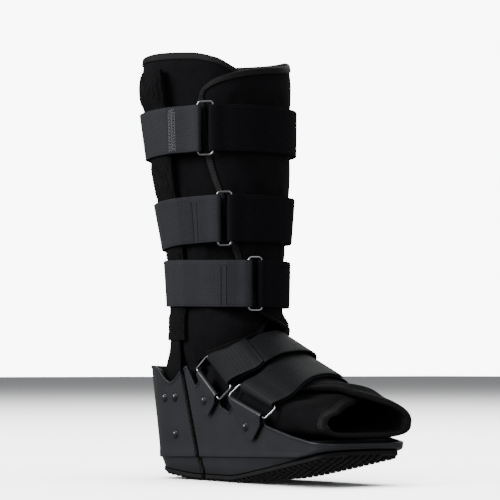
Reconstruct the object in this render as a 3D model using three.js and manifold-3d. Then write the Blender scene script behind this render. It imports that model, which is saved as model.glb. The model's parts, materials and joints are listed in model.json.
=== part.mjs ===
// A tall walking boot for the right leg, in millimetres, with +Z up and the toes towards -Y.
// The origin is on the floor, in the middle of the flat part of the rocker sole. +X is the inner side of the leg.
import * as THREE from "three";
import { mergeVertices } from "three/addons/utils/BufferGeometryUtils.js";
import Module from "manifold-3d";

const wasm = await Module();
wasm.setup();

// Driving dimensions

const gap = 0.4; // between two pieces that touch
const linerHeight = 450; // floor to the top edge of the padded liner
const calfHalfWidth = 74;
const calfDepth = 165; // front to back of the liner at its top
const legRoundness = 2.15; // exponent of the leg's section, where 2 is an ellipse
const linerWall = 8.5; // padded wall of the liner
const floorWall = 4.2; // padded wall under the foot
const flapFlare = 9; // how far the outer flap's lower corner stands off
const flapWall = 5.5; // padded wall where the liner's two flaps overlap

const toeReach = 179; // origin to the toe of the shell
const heelReach = 124; // origin to the heel of the shell
const bootLength = toeReach + heelReach;
const shellHalfWidth = 57; // at the ball of the foot
const shellWall = 3.5;
const shellHeight = 120.5; // floor to the highest point of the shell's side
const shellFlare = 6; // how far the side leans out from its foot to its top
const floorAtHeel = 34; // top of the foot plate above the ground
const floorRise = 8; // how much higher the foot plate is at the toe
const soleThickness = 6.5;
const rockerStart = 8; // the sole curves up from here towards the toe
const rockerSlope = 0.2;
const heelStart = 40; // and from here towards the heel
const heelSlope = 0.12;
const rockerBlend = 25;
const grooveDepth = 4;
const grooveHalfWidth = 8;

const footHalfWidth = 56;
const instepHeight = 145; // floor to the top of the foot liner under the ankle
const soleRoundness = 3.2; // exponent of the foot liner's lower half, where 2 is an ellipse
const insoleThickness = 4;

const bindingWall = 0.9;
const bindingGap = 0.55; // between the edge tape and the liner
const cutTolerance = 0.03; // what a cut may be simplified by
const tapeRoom = 0.33; // what the liner is cut back by where the tape would press into it
const bindingReach = 8; // how far the edge tape covers the liner's face

const uprightWidth = 27;
const uprightThickness = 2.5;
const uprightFoot = 41; // lowest point of the metal bar
const uprightTop = 424;
const sleeveWidth = 45;
const sleeveWall = 1.5;
const sleeveBottom = 147;
const sleeveTop = 433;

const strapWidth = 49;
const webbingThickness = 1.5;
const pileThickness = 2.2;
const ringWire = 1.4; // radius
const ringGap = 15; // between the middles of a ring's two long bars
const ringEnd = 3.2; // from a strap's edge to the middle of the ring's short bar
const footRingEnd = 5.4;
const barRoom = 2 * gap; // between a ring's bar and the strap folded round it

const footStrapThickness = 1.8;
const tabPlate = 1.2;
const tabDrop = 31; // from a tab's folded edge to its point
const tabPoint = 13; // how far in front of the fold's middle the point is
const tabRivet = { along: 3, down: 20 }; // from the fold's middle
const rivetHead = 4.3; // radius
const rivetDome = 2.6;
const rivetShank = 2; // radius

const treadPitch = 30;
const treadGroove = 4;
const treadDepth = 2.2;
const treadRows = 3; // blocks across the sole

// Where the leg straps start and end, in degrees round the leg
const webbingStart = -252;
const webbingTail = 26; // how far the webbing's end lies behind its fold
const pileStart = 100;

// Tables. Lengths are shares of the sizes above, angles are degrees.

// The liner's leg: height of liner height, wide of calf half width, front and back of calf depth.
const legSections = [
  { up: 0.08, wide: 0.565, front: -0.1, back: 0.715 },
  { up: 0.255, wide: 0.575, front: -0.105, back: 0.71 },
  { up: 0.333, wide: 0.635, front: -0.115, back: 0.67 },
  { up: 0.367, wide: 0.65, front: -0.118, back: 0.655 },
  { up: 0.4, wide: 0.66, front: -0.12, back: 0.645 },
  { up: 0.467, wide: 0.68, front: -0.12, back: 0.645 },
  { up: 0.531, wide: 0.715, front: -0.118, back: 0.665 },
  { up: 0.664, wide: 0.835, front: -0.126, back: 0.735 },
  { up: 0.756, wide: 0.905, front: -0.12, back: 0.795 },
  { up: 0.904, wide: 0.975, front: -0.112, back: 0.875 },
  { up: 1, wide: 1.005, front: -0.104, back: 0.9 },
];

// The outer flap's free edge: turn is the angle round the leg from the shin, positive inwards.
const flapEdge = [
  { up: 0.349, turn: 30 },
  { up: 0.36, turn: 20 },
  { up: 0.376, turn: 2 },
  { up: 0.396, turn: -12 },
  { up: 0.453, turn: -22 },
  { up: 0.507, turn: -29 },
  { up: 0.544, turn: -34 },
  { up: 0.602, turn: -39 },
  { up: 0.664, turn: -45 },
  { up: 0.7, turn: -49 },
  { up: 0.742, turn: -52 },
  { up: 0.882, turn: -55 },
];

// The leg liner's top and bottom edges, from the inner flap round the back to the outer flap.
const legTop = [
  { turn: -415, up: 0.882 },
  { turn: -411, up: 0.906 },
  { turn: -402, up: 0.927 },
  { turn: -390, up: 0.94 },
  { turn: -375, up: 0.951 },
  { turn: -364, up: 0.957 },
  { turn: -329, up: 0.972 },
  { turn: -300, up: 0.992 },
  { turn: -180, up: 1 },
  { turn: -90, up: 0.999 },
  { turn: -62, up: 0.995 },
  { turn: -39, up: 0.981 },
  { turn: -27, up: 0.963 },
  { turn: -15, up: 0.942 },
  { turn: -5, up: 0.928 },
  { turn: 25, up: 0.9 },
];
const legBottom = [
  { turn: -329, up: 0.349 },
  { turn: -315, up: 0.33 },
  { turn: -300, up: 0.305 },
  { turn: -280, up: 0.279 },
  { turn: -271, up: 0.262 },
  { turn: -260, up: 0.2605 },
  { turn: -180, up: 0.2605 },
  { turn: -100, up: 0.2605 },
  { turn: -89, up: 0.262 },
  { turn: -80, up: 0.279 },
  { turn: -60, up: 0.291 },
  { turn: -40, up: 0.306 },
  { turn: -20, up: 0.324 },
  { turn: 0, up: 0.35 },
  { turn: 25, up: 0.388 },
  { turn: 60, up: 0.4 },
];

// The foot liner: along of boot length from the origin, wide of foot half width, top of instep height.
const footSections = [
  { along: -0.59, wide: 1.02, top: 0.585, skew: 0.16, round: 2 },
  { along: -0.545, wide: 1.02, top: 0.61, skew: 0.16, round: 2 },
  { along: -0.493, wide: 1.0, top: 0.652, skew: 0.14, round: 2.1 },
  { along: -0.454, wide: 0.97, top: 0.688, skew: 0.12, round: 2.2 },
  { along: -0.37, wide: 0.955, top: 0.708, skew: 0.08, round: 2.3 },
  { along: -0.281, wide: 0.945, top: 0.768, skew: 0.06, round: 2.4 },
  { along: -0.197, wide: 0.93, top: 0.852, skew: 0.04, round: 2.4 },
  { along: -0.148, wide: 0.92, top: 0.922, skew: 0.03, round: 2.4 },
  { along: -0.079, wide: 0.88, top: 1.03, skew: 0.02, round: 2.4 },
  { along: 0, wide: 0.81, top: 1.13, skew: 0, round: 2.4 },
  { along: 0.069, wide: 0.735, top: 1.19, skew: 0, round: 2.4 },
  { along: 0.158, wide: 0.715, top: 1.23, skew: 0, round: 2.4 },
];

// The foot liner's front and rear edges, from the inner flap down the outer side and under the sole to the outer flap.
const footFront = [
  { turn: -402, along: -0.34 },
  { turn: -396, along: -0.362 },
  { turn: -380, along: -0.43 },
  { turn: -365, along: -0.49 },
  { turn: -350, along: -0.52 },
  { turn: -330, along: -0.553 },
  { turn: -300, along: -0.574 },
  { turn: -270, along: -0.579 },
  { turn: -220, along: -0.574 },
  { turn: -180, along: -0.567 },
  { turn: -120, along: -0.561 },
  { turn: -90, along: -0.552 },
  { turn: -60, along: -0.534 },
  { turn: -30, along: -0.508 },
  { turn: 25, along: -0.47 },
];
const footRear = [
  { turn: -402, along: -0.0888 },
  { turn: -345, along: -0.0868 },
  { turn: -320, along: -0.0543 },
  { turn: -300, along: 0.0197 },
  { turn: -290, along: 0.0987 },
  { turn: -282, along: 0.1451 },
  { turn: -262, along: 0.148 },
  { turn: -180, along: 0.148 },
  { turn: -98, along: 0.148 },
  { turn: -78, along: 0.1451 },
  { turn: -70, along: 0.0987 },
  { turn: -60, along: 0.0197 },
  { turn: -40, along: -0.0543 },
  { turn: -15, along: -0.0868 },
  { turn: 25, along: -0.0888 },
];

// The shell's plan: half width by place along the boot, of shell half width and boot length.
const shellPlan = [
  { along: -0.52, wide: 1.03 },
  { along: -0.375, wide: 1.025 },
  { along: -0.276, wide: 1.015 },
  { along: -0.178, wide: 0.995 },
  { along: -0.079, wide: 0.94 },
  { along: 0.02, wide: 0.875 },
  { along: 0.118, wide: 0.845 },
  { along: 0.276, wide: 0.84 },
];

// The top edge of the shell's side, from toe to heel, as shares of boot length and shell height.
const shellEdge = [
  { along: -0.65, up: 0.355 },
  { along: -0.592, up: 0.357 },
  { along: -0.515, up: 0.373 },
  { along: -0.416, up: 0.419 },
  { along: -0.329, up: 0.474 },
  { along: -0.283, up: 0.505 },
  { along: -0.28, up: 0.55 },
  { along: -0.122, up: 0.69 },
  { along: -0.108, up: 0.66 },
  { along: -0.087, up: 0.603 },
  { along: -0.03, up: 0.652 },
  { along: -0.026, up: 0.72 },
  { along: 0.068, up: 0.915 },
  { along: 0.09, up: 0.87 },
  { along: 0.112, up: 0.822 },
  { along: 0.16, up: 1.0 },
  { along: 0.182, up: 0.965 },
  { along: 0.202, up: 0.942 },
  { along: 0.23, up: 0.88 },
  { along: 0.256, up: 0.852 },
  { along: 0.284, up: 0.88 },
  { along: 0.308, up: 0.962 },
  { along: 0.342, up: 0.99 },
  { along: 0.386, up: 1 },
  { along: 0.5, up: 0.975 },
];

// The three leg straps: the ring's height and turn, how far the outer side hangs below the ring, and the tail's turn.
const legStraps = [
  { name: "top", up: 0.8155, turn: -50, drop: 0.012, tail: 84 },
  { name: "middle", up: 0.606, turn: -41, drop: 0.0165, tail: 82 },
  { name: "lower", up: 0.4555, turn: -16, drop: -0.006, tail: 80 },
];

// The two foot straps. Each has the place of its tail's end, the two ends of its tab's fold on the shell's side,
// and its rear and front edges from the ring at 0: each with a turn round the foot and a share of boot length.
const footStraps = [
  {
    name: "instep",
    tail: 0.33,
    rise: 2, // how far it stands off the padding
    overlap: 6.5, // how far its front edge is lifted over the strap in front of it
    fold: [
      { along: 0.071, up: 0.943 },
      { along: -0.033, up: 0.734 },
    ],
    edges: [
      { at: 0, rearTurn: -58.8, rear: 0.066, frontTurn: -68.6, front: -0.086 },
      { at: 0.15, rearTurn: -49.7, rear: -0.016, frontTurn: -56.7, front: -0.141 },
      { at: 0.3, rearTurn: -35.1, rear: -0.069, frontTurn: -40.6, front: -0.194 },
      { at: 0.42, rearTurn: -26.3, rear: -0.084, frontTurn: -30.2, front: -0.211 },
      { at: 0.6, rearTurn: -9.1, rear: -0.082, frontTurn: -9.4, front: -0.207 },
      { at: 0.8, rearTurn: 11.3, rear: -0.067, frontTurn: 12, front: -0.197 },
      { at: 1, rearTurn: 30, rear: -0.045, frontTurn: 32, front: -0.175 },
      { at: 1.2, rearTurn: 48, rear: -0.005, frontTurn: 51, front: -0.13 },
    ],
  },
  {
    name: "forefoot",
    tail: 0.98,
    rise: 0,
    overlap: 0,
    fold: [
      { along: -0.119, up: 0.717 },
      { along: -0.287, up: 0.572 },
    ],
    edges: [
      { at: 0, rearTurn: -65.4, rear: -0.151, frontTurn: -76.1, front: -0.325 },
      { at: 0.15, rearTurn: -54, rear: -0.183, frontTurn: -64.5, front: -0.365 },
      { at: 0.3, rearTurn: -42, rear: -0.202, frontTurn: -50.4, front: -0.385 },
      { at: 0.45, rearTurn: -28, rear: -0.197, frontTurn: -33.9, front: -0.373 },
      { at: 0.62, rearTurn: -9, rear: -0.183, frontTurn: -9.2, front: -0.347 },
      { at: 0.8, rearTurn: 12, rear: -0.168, frontTurn: 13.9, front: -0.33 },
      { at: 1, rearTurn: 30, rear: -0.163, frontTurn: 32, front: -0.329 },
      { at: 1.2, rearTurn: 50, rear: -0.148, frontTurn: 52, front: -0.31 },
    ],
  },
];

// Materials

const finish = (color, roughness, metalness = 0) => new THREE.MeshStandardMaterial({ color, roughness, metalness });
const materials = {
  shell: finish(0x2b2f33, 0.5),
  rubber: finish(0x0d0d0e, 0.85),
  padding: finish(0x121214, 0.95),
  tape: finish(0x1f2023, 0.7),
  webbing: finish(0x2c2e33, 0.6),
  pile: finish(0x0b0b0d, 1),
  steel: finish(0xb8babd, 0.25, 1),
  rivet: finish(0x2a2c30, 0.3, 0.8),
  upright: finish(0x101012, 0.6),
};

// Helpers

const radians = THREE.MathUtils.degToRad;
const clamp = THREE.MathUtils.clamp;
const blend = THREE.MathUtils.lerp;
const ease = THREE.MathUtils.smoothstep;
const point = (x, y, z) => new THREE.Vector3(x, y, z);
const steps = (count) => Array.from({ length: count + 1 }, (_, i) => i / count);

// A column of a table at a place, on a smooth curve that doesn't overshoot its rows.
function read(table, key, column, at) {
  const last = table.length - 1;
  const x = table.map((row) => row[key]);
  const y = table.map((row) => row[column]);
  if (at <= x[0]) return y[0];
  if (at >= x[last]) return y[last];
  const i = x.findIndex((value) => value > at) - 1;
  const slope = (k) => (y[k + 1] - y[k]) / (x[k + 1] - x[k]);
  const tangent = (k) => {
    if (k === 0 || k === last) return slope(Math.min(k, last - 1));
    const [a, b] = [slope(k - 1), slope(k)];
    return a * b <= 0 ? 0 : (2 * a * b) / (a + b);
  };
  const width = x[i + 1] - x[i];
  const t = (at - x[i]) / width;
  const [a, b] = [tangent(i) * width, tangent(i + 1) * width];
  const rise = y[i + 1] - y[i];
  return y[i] + t * (a + t * (3 * rise - 2 * a - b + t * (a + b - 2 * rise)));
}

// A closed geometry from points and faces of three or four corners, turned so that it faces out.
function closed(points, faces) {
  const firstAt = new Map();
  const same = points.map((p, i) => {
    const key = p.toArray().map((value) => value.toFixed(3)).join();
    if (!firstAt.has(key)) firstAt.set(key, i);
    return firstAt.get(key);
  });
  const triangles = faces
    .flatMap(([a, b, c, d]) => (d === undefined ? [[a, b, c]] : [[a, b, c], [a, c, d]]))
    .map((corners) => corners.map((i) => same[i]))
    .filter(([a, b, c]) => a !== b && b !== c && c !== a);
  const volume = triangles.reduce((sum, [a, b, c]) => sum + points[a].dot(points[b].clone().cross(points[c])), 0);
  const index = triangles.flatMap(([a, b, c]) => (volume < 0 ? [a, c, b] : [a, b, c]));
  const geometry = new THREE.BufferGeometry().setFromPoints(points);
  return geometry.setIndex(index);
}

// The cap of a row that is the same on both sides of the boot, as strips from side to side.
function capAcross(n) {
  const middle = n / 2;
  const strips = [];
  for (let i = 1; i < middle - 1; i += 1) strips.push([i, i + 1, n - i - 1], [i, n - i - 1, n - i]);
  return [[0, 1, n - 1], ...strips, [middle - 1, middle, middle + 1]];
}

// A body through rows of points, each row a closed outline. Its ends are capped, or it meets itself.
function loft(rows, { ring = false, across = false } = {}) {
  const n = rows[0].length;
  const faces = [];
  const count = ring ? rows.length : rows.length - 1;
  for (let r = 0; r < count; r += 1)
    for (let i = 0; i < n; i += 1) {
      const [a, b] = [r * n, ((r + 1) % rows.length) * n];
      const j = (i + 1) % n;
      faces.push([a + i, a + j, b + j, b + i]);
    }
  const points = rows.flat();
  if (!ring)
    [0, rows.length - 1].forEach((r) => {
      const cap = across ? capAcross(n) : THREE.ShapeUtils.triangulateShape(flatten(rows[r]), []);
      cap.forEach(([a, b, c]) => {
        const inOrder = (b - a + n) % n < (c - a + n) % n;
        const [second, third] = inOrder === (r === 0) ? [c, b] : [b, c];
        faces.push([r * n + a, r * n + second, r * n + third]);
      });
    });
  return closed(points, faces);
}

// A row of points seen square on, as the flat outline that the cap of a loft is cut from.
function flatten(row) {
  const normal = point(0, 0, 0);
  row.forEach((p, i) => normal.add(p.clone().sub(row[0]).cross(row[(i + 1) % row.length].clone().sub(row[0]))));
  normal.normalize();
  const across = row[1].clone().sub(row[0]).projectOnPlane(normal).normalize();
  const other = normal.clone().cross(across);
  return row.map((p) => new THREE.Vector2(p.dot(across), p.dot(other)));
}

// A wall between an outer and an inner sheet of points, columns by rows, closed round its four edges.
function wall(columns, rows, outer, inner) {
  const [w, h] = [columns.length, rows];
  const points = [...columns.flatMap((c) => outer(c)), ...columns.flatMap((c) => inner(c))];
  const at = (side, c, r) => side * w * h + c * h + r;
  const faces = [];
  for (let c = 0; c < w - 1; c += 1)
    for (let r = 0; r < h - 1; r += 1) {
      faces.push([at(0, c, r), at(0, c + 1, r), at(0, c + 1, r + 1), at(0, c, r + 1)]);
      faces.push([at(1, c, r), at(1, c, r + 1), at(1, c + 1, r + 1), at(1, c + 1, r)]);
    }
  for (let c = 0; c < w - 1; c += 1) {
    faces.push([at(0, c, 0), at(1, c, 0), at(1, c + 1, 0), at(0, c + 1, 0)]);
    faces.push([at(0, c, h - 1), at(0, c + 1, h - 1), at(1, c + 1, h - 1), at(1, c, h - 1)]);
  }
  for (let r = 0; r < h - 1; r += 1) {
    faces.push([at(0, 0, r), at(0, 0, r + 1), at(1, 0, r + 1), at(1, 0, r)]);
    faces.push([at(0, w - 1, r), at(1, w - 1, r), at(1, w - 1, r + 1), at(0, w - 1, r + 1)]);
  }
  return closed(points, faces);
}

// Between a geometry and a solid that can be cut and joined.
function solid(geometry) {
  const bare = geometry.clone();
  bare.deleteAttribute("normal");
  bare.deleteAttribute("uv");
  const merged = mergeVertices(bare, 1e-4);
  const vertProperties = merged.attributes.position.array;
  return new wasm.Manifold(new wasm.Mesh({ numProp: 3, vertProperties, triVerts: new Uint32Array(merged.index.array) }));
}
function geometryOf(body) {
  const mesh = body.getMesh();
  const geometry = new THREE.BufferGeometry();
  geometry.setAttribute("position", new THREE.BufferAttribute(mesh.vertProperties, 3));
  return geometry.setIndex(new THREE.BufferAttribute(mesh.triVerts, 1));
}
function cut(body, ...tools) {
  const left = tools.reduce((rest, tool) => rest.subtract(solid(tool)), solid(body));
  const pieces = left.decompose().sort((a, b) => b.volume() - a.volume());
  return geometryOf(pieces[0].simplify(cutTolerance));
}

const join = (body, ...others) => geometryOf(others.reduce((sum, other) => sum.add(solid(other)), solid(body)));

// A side view outline, along and up, pushed through the whole width of the boot.
function throughWidth(outline) {
  const reach = 3 * shellHalfWidth;
  const shape = new THREE.Shape(outline.map(([y, z]) => new THREE.Vector2(y, z)));
  const geometry = new THREE.ExtrudeGeometry(shape, { depth: 2 * reach, bevelEnabled: false });
  const turned = new THREE.Matrix4().makeBasis(point(0, 1, 0), point(0, 0, 1), point(1, 0, 0));
  return geometry.applyMatrix4(turned).translate(-reach, 0, 0);
}

const boot = new THREE.Group();
function add(name, geometry, material) {
  const mesh = new THREE.Mesh(geometry, material);
  mesh.name = name;
  boot.add(mesh);
}

// The sole's curve and the foot plate

function soleBottom(y) {
  const rise = (past, slope) => (past <= 0 ? 0 : slope * (Math.hypot(past, rockerBlend) - rockerBlend));
  return rise(-rockerStart - y, rockerSlope) + rise(y - heelStart, heelSlope);
}
const footPlate = (y) => floorAtHeel + floorRise * clamp((heelReach - y) / bootLength, 0, 1);

// The shell's ledge, where the side wall overhangs the sole's band.
const ledge = (y) => Math.max(footPlate(y) - 11, soleBottom(y) + soleThickness + 3);

// Plan of the shell

const groovePlace = (z) => blend(0.105, 0.19, clamp(z / shellHeight, 0, 1)) * bootLength;
const heelRound = 0.13 * bootLength; // length of the round heel
const heelRoundness = 2.6; // exponent of the heel's plan, where 2 is an ellipse
const heelBack = 6; // how much further the heel's back leans out than the sides
const toeRound = 0.075 * bootLength; // radius of the toe's corners
const toeBow = 0.012 * bootLength; // how far the toe's middle stands forward

const shellWide = (y) => shellHalfWidth * read(shellPlan, "along", "wide", y / bootLength);

// A point of the round heel, from its mouth at 0 degrees to its back at 90.
function heelPoint(angle, out, back) {
  const a = radians(angle);
  const heelMouth = heelReach - heelRound;
  const power = 2 / heelRoundness;
  const [wide, round] = [shellWide(heelMouth) + out, heelRound + out + back];
  return [angle === 90 ? 0 : wide * Math.cos(a) ** power, heelMouth + round * Math.sin(a) ** power];
}

// One side of the plan, from the toe's middle to the heel's middle, at a height, moved out by a distance.
function halfPlan(z, out) {
  const half = [];
  const toeWide = shellWide(-toeReach + toeRound);
  const straight = toeWide - toeRound;
  [0, 0.55].forEach((t) => half.push([t * straight, -toeReach + toeBow * t * t, 0, -1]));
  steps(3).forEach((t) => {
    const a = radians(90 * t);
    const [x, y] = [straight + toeRound * Math.sin(a), -toeReach + toeBow + toeRound * (1 - Math.cos(a))];
    half.push([x, y, Math.sin(a), -Math.cos(a)]);
  });
  const groove = groovePlace(z);
  const heelMouth = heelReach - heelRound;
  const before = [-0.42, -0.3, -0.2, -0.1, -0.01, 0.05].map((share) => share * bootLength);
  const dips = [-1, -0.45, 0, 0.45, 1].map((t) => groove + t * grooveHalfWidth);
  [...before, ...dips, heelMouth - 0.02 * bootLength].forEach((y) => {
    const depth = grooveDepth * (1 - ease(Math.abs(y - groove), 0, grooveHalfWidth));
    half.push([shellWide(y) - depth, y, 1, 0]);
  });
  const leanBack = heelBack * clamp((z - floorAtHeel) / (shellHeight - floorAtHeel), 0, 1.05);
  const moved = half.map(([x, y, nx, ny]) => [Math.max(0, x + nx * out), y + ny * out]);
  steps(6).forEach((t) => moved.push(heelPoint(90 * t, out, leanBack)));
  return moved;
}

// The whole plan as points, with the height given by a function of the place along the boot.
function planRow(z, out, height) {
  const half = halfPlan(z, out);
  const other = half.slice(1, -1).reverse();
  return [...half.map(([x, y]) => point(x, y, height(y))), ...other.map(([x, y]) => point(-x, y, height(y)))];
}

// How far the shell's side has leaned out at a height.
const lean = (z) => shellFlare * clamp((z - floorAtHeel) / (shellHeight - floorAtHeel), 0, 1.05);

// How far the shell's side stands from the boot's middle plane, with its round heel.
function shellSide(y, z) {
  const past = Math.max(0, y - heelReach + heelRound) / (heelRound + lean(z));
  const share = Math.max(0, 1 - past ** heelRoundness) ** (1 / heelRoundness);
  return (shellWide(Math.min(y, heelReach - heelRound)) + lean(z)) * share;
}

// Shell: one moulding with a foot plate, two winged sides and a round heel

const bandInset = 2.5; // the band under the ledge is narrower than the side
const bandTaper = 3; // and narrows further towards the sole
const shellTopLevels = [0.28, 0.55, 0.8, 1.04].map((share) => share * shellHeight);

function shellBody() {
  const rows = [
    planRow(0, -bandInset - bandTaper, (y) => soleBottom(y) + soleThickness),
    planRow(0.18 * shellHeight, -bandInset, (y) => ledge(y) - 1),
    planRow(0.2 * shellHeight, 0, (y) => ledge(y) + 1),
    ...shellTopLevels.map((z, i) => planRow(z, lean(z), (y) => (i ? z : Math.max(z, footPlate(y))))),
  ];
  return loft(rows, { across: true });
}

const hollowStart = footPlate(-toeReach) + 1;

function shellHollow() {
  const rise = hollowStart;
  const rows = [
    planRow(rise, -shellWall, footPlate),
    ...[rise, ...shellTopLevels.slice(1)].map((z) => planRow(z, lean(z) - shellWall, () => z)),
  ];
  rows[rows.length - 1].forEach((p) => p.setZ(1.3 * shellHeight));
  return loft(rows, { across: true });
}

const edgePoints = shellEdge.map(({ along, up }) => [along * bootLength, up * shellHeight]);

function shellSideCut() {
  const sky = 2 * shellHeight;
  return throughWidth([...edgePoints, [edgePoints.at(-1)[0], sky], [edgePoints[0][0], sky]]);
}

// Rivets: place along and up, and how deep the shank goes

const rivetSpots = [
  { name: "upright_rear", along: 0.2931, up: 0.712 },
  { name: "upright_front", along: 0.2339, up: 0.717 },
  { name: "upright_low", along: 0.2418, up: 0.392 },
];

const sideTilt = Math.atan(shellFlare / (shellHeight - floorAtHeel));

// A lathe part whose axis runs along -X or +X, standing on the shell's side.
function onSide(geometry, side, x, y, z, tilt = 0) {
  const outward = point(side * Math.cos(tilt), 0, Math.sin(-tilt)).normalize();
  const turn = new THREE.Quaternion().setFromUnitVectors(point(0, 1, 0), outward);
  return geometry.applyQuaternion(turn).translate(side * x, y, z);
}

// A domed rivet along +Y, with its seat at zero.
function rivetShape(depth) {
  const dome = steps(2).map((t) => {
    const a = radians(90 * t);
    return new THREE.Vector2(rivetHead * Math.cos(a), gap + rivetDome * Math.sin(a));
  });
  dome[dome.length - 1].x = 0;
  const profile = [new THREE.Vector2(0, -depth), new THREE.Vector2(rivetShank, -depth), new THREE.Vector2(rivetShank, gap)];
  return new THREE.LatheGeometry([...profile, ...dome], 8);
}

function rivetHole(depth) {
  return new THREE.CylinderGeometry(rivetShank + 1.6 * gap, rivetShank + 1.6 * gap, 2 * depth, 8);
}

// Leg liner

function legSection(z) {
  const up = z / linerHeight;
  const front = calfDepth * read(legSections, "up", "front", up);
  const back = calfDepth * read(legSections, "up", "back", up);
  return { wide: calfHalfWidth * read(legSections, "up", "wide", up), deep: (back - front) / 2, middle: (front + back) / 2 };
}

function legRadius(turn, z) {
  const { wide, deep } = legSection(z);
  const a = radians(turn);
  const sum = Math.abs(Math.sin(a) / wide) ** legRoundness + Math.abs(Math.cos(a) / deep) ** legRoundness;
  return sum ** (-1 / legRoundness);
}

// A point round the leg at a turn and height, a lift above the liner's outer face.
function legPoint(turn, z, lift = 0) {
  const r = legRadius(turn, z) + lift;
  const a = radians(turn);
  return point(r * Math.sin(a), legSection(z).middle - r * Math.cos(a), z);
}

const flapGap = bindingWall + bindingGap + 1.8; // room for the edge tape between the two flaps
const flapSink = flapWall + flapGap; // how far the inner flap lies below the outer one
const legStart = 60;
const fullTurn = 360;

// Where a share round the wrap and a share up it lie: the turn, height and depth of both faces.
function legWrapAt(s, v) {
  const endAt = (up) => read(flapEdge, "up", "turn", up) - fullTurn;
  const topTurn = blend(legStart, endAt(1), s);
  const bottomTurn = blend(legStart, endAt(0), s);
  const top = linerHeight * read(legTop, "turn", "up", topTurn);
  const bottom = linerHeight * read(legBottom, "turn", "up", bottomTurn);
  const z = blend(bottom, top, v);
  const end = endAt(z / linerHeight);
  const turn = blend(legStart, end, s);
  const edge = end + fullTurn;
  const underFlap = ease(turn, edge - 52, edge - 14);
  const sink = flapSink * underFlap;
  const outerFlap = ease(-turn, fullTurn - legStart - 62, fullTurn - legStart - 20);
  const thick = blend(linerWall, flapWall, Math.max(underFlap, outerFlap));
  const flare = flapFlare * ease(-turn, 285, 325) * (1 - ease(z / linerHeight, 0.35, 0.395));
  const lift = flare - sink;
  return { outer: legPoint(turn, z, lift), inner: legPoint(turn, z, lift - thick) };
}

// Shares along one direction of a wrap, with the edge tape's width as first and last step.
function taped(count, reach) {
  const inside = steps(count - 2).map((t) => blend(reach, 1 - reach, t));
  return [0, ...inside, 1];
}

const legColumns = [0, ...steps(18).map((t) => blend(0.0155, 0.93, t)), 0.957, 0.9845, 1];
const legRows = [0, 0.027, 0.07, 0.13, 0.22, 0.36, 0.55, 0.77, 0.973, 1];

function wrapWall(at, columns, rowsOf) {
  const sheet = (face) => (s) => rowsOf(s).map((v) => at(s, v)[face]);
  return wall(columns, rowsOf(0).length, sheet("outer"), sheet("inner"));
}

// Tape folded round a wrap's edge. Each station gives a place on the edge and one on the wall, inside it.
// Grown, it is the room that the liner leaves for it.
function edgeTape(at, stations, grown = 0) {
  const [near, far] = [bindingGap - grown, bindingGap + bindingWall + grown];
  const rows = stations.map(([edge, inside]) => {
    const [e, i] = [at(...edge), at(...inside)];
    const out = e.outer.clone().add(e.inner).sub(i.outer).sub(i.inner).normalize();
    const across = (p) => p.outer.clone().sub(p.inner).normalize();
    const [ne, ni] = [across(e), across(i)];
    const shift = (p, normal, n, o = 0) => p.clone().addScaledVector(normal, n).addScaledVector(out, o);
    return [
      shift(i.outer, ni, far, -grown),
      shift(e.outer, ne, far, far),
      shift(e.inner, ne, -far, far),
      shift(i.inner, ni, -far, -grown),
      shift(i.inner, ni, -near, -grown),
      shift(e.inner, ne, -near, near),
      shift(e.outer, ne, near, near),
      shift(i.outer, ni, near, -grown),
    ];
  });
  return loft(rows);
}

// Stations of the tape: along the bottom to the inner flap, up it, along the top, down the outer flap and back.
function tapeStations(columns, rowsOf, firstColumn, lastColumn) {
  const [c, last] = [columns, columns.length - 1];
  const end = rowsOf(0).length - 1;
  const [near, far] = [(s) => rowsOf(s)[1], (s) => rowsOf(s)[end - 1]];
  const stations = [];
  for (let i = firstColumn; i >= 1; i -= 1) stations.push([[c[i], 0], [c[i], near(c[i])]]);
  stations.push([[0, 0], [c[1], near(c[1])]]);
  for (let j = 1; j < end; j += 1) stations.push([[0, rowsOf(0)[j]], [c[1], rowsOf(c[1])[j]]]);
  stations.push([[0, 1], [c[1], far(c[1])]]);
  for (let i = 1; i < last; i += 1) stations.push([[c[i], 1], [c[i], far(c[i])]]);
  stations.push([[1, 1], [c[last - 1], far(c[last - 1])]]);
  for (let j = end - 1; j > 0; j -= 1) stations.push([[1, rowsOf(1)[j]], [c[last - 1], rowsOf(c[last - 1])[j]]]);
  stations.push([[1, 0], [c[last - 1], near(c[last - 1])]]);
  for (let i = last - 1; i >= lastColumn; i -= 1) stations.push([[c[i], 0], [c[i], near(c[i])]]);
  return stations;
}

// Foot liner

const footBottom = (y) => footPlate(y) + insoleThickness + bindingWall + bindingGap + 3 * gap;
const footWaist = (y) => footBottom(y) + 0.16 * instepHeight;

// A point round the foot at a turn from the top, positive inwards, a lift above the liner's outer face.
function footPoint(turn, y, lift = 0) {
  const along = y / bootLength;
  const a = radians(turn);
  const [sin, cos] = [Math.sin(a), Math.cos(a)];
  const wide = footHalfWidth * read(footSections, "along", "wide", along);
  const top = instepHeight * read(footSections, "along", "top", along);
  const skew = footHalfWidth * read(footSections, "along", "skew", along);
  const [waist, bottom] = [footWaist(y), footBottom(y)];
  const over = cos > 0 ? top - waist : waist - bottom;
  const n = cos > 0 ? read(footSections, "along", "round", along) : soleRoundness;
  const size = (Math.abs(sin) ** n + Math.abs(cos) ** n) ** (-1 / n);
  const x = (wide + lift) * size * sin + skew * Math.max(0, size * cos);
  return point(x, y, waist + (over + lift) * size * cos);
}

const footStart = 25;
const footEnd = -402;

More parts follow.
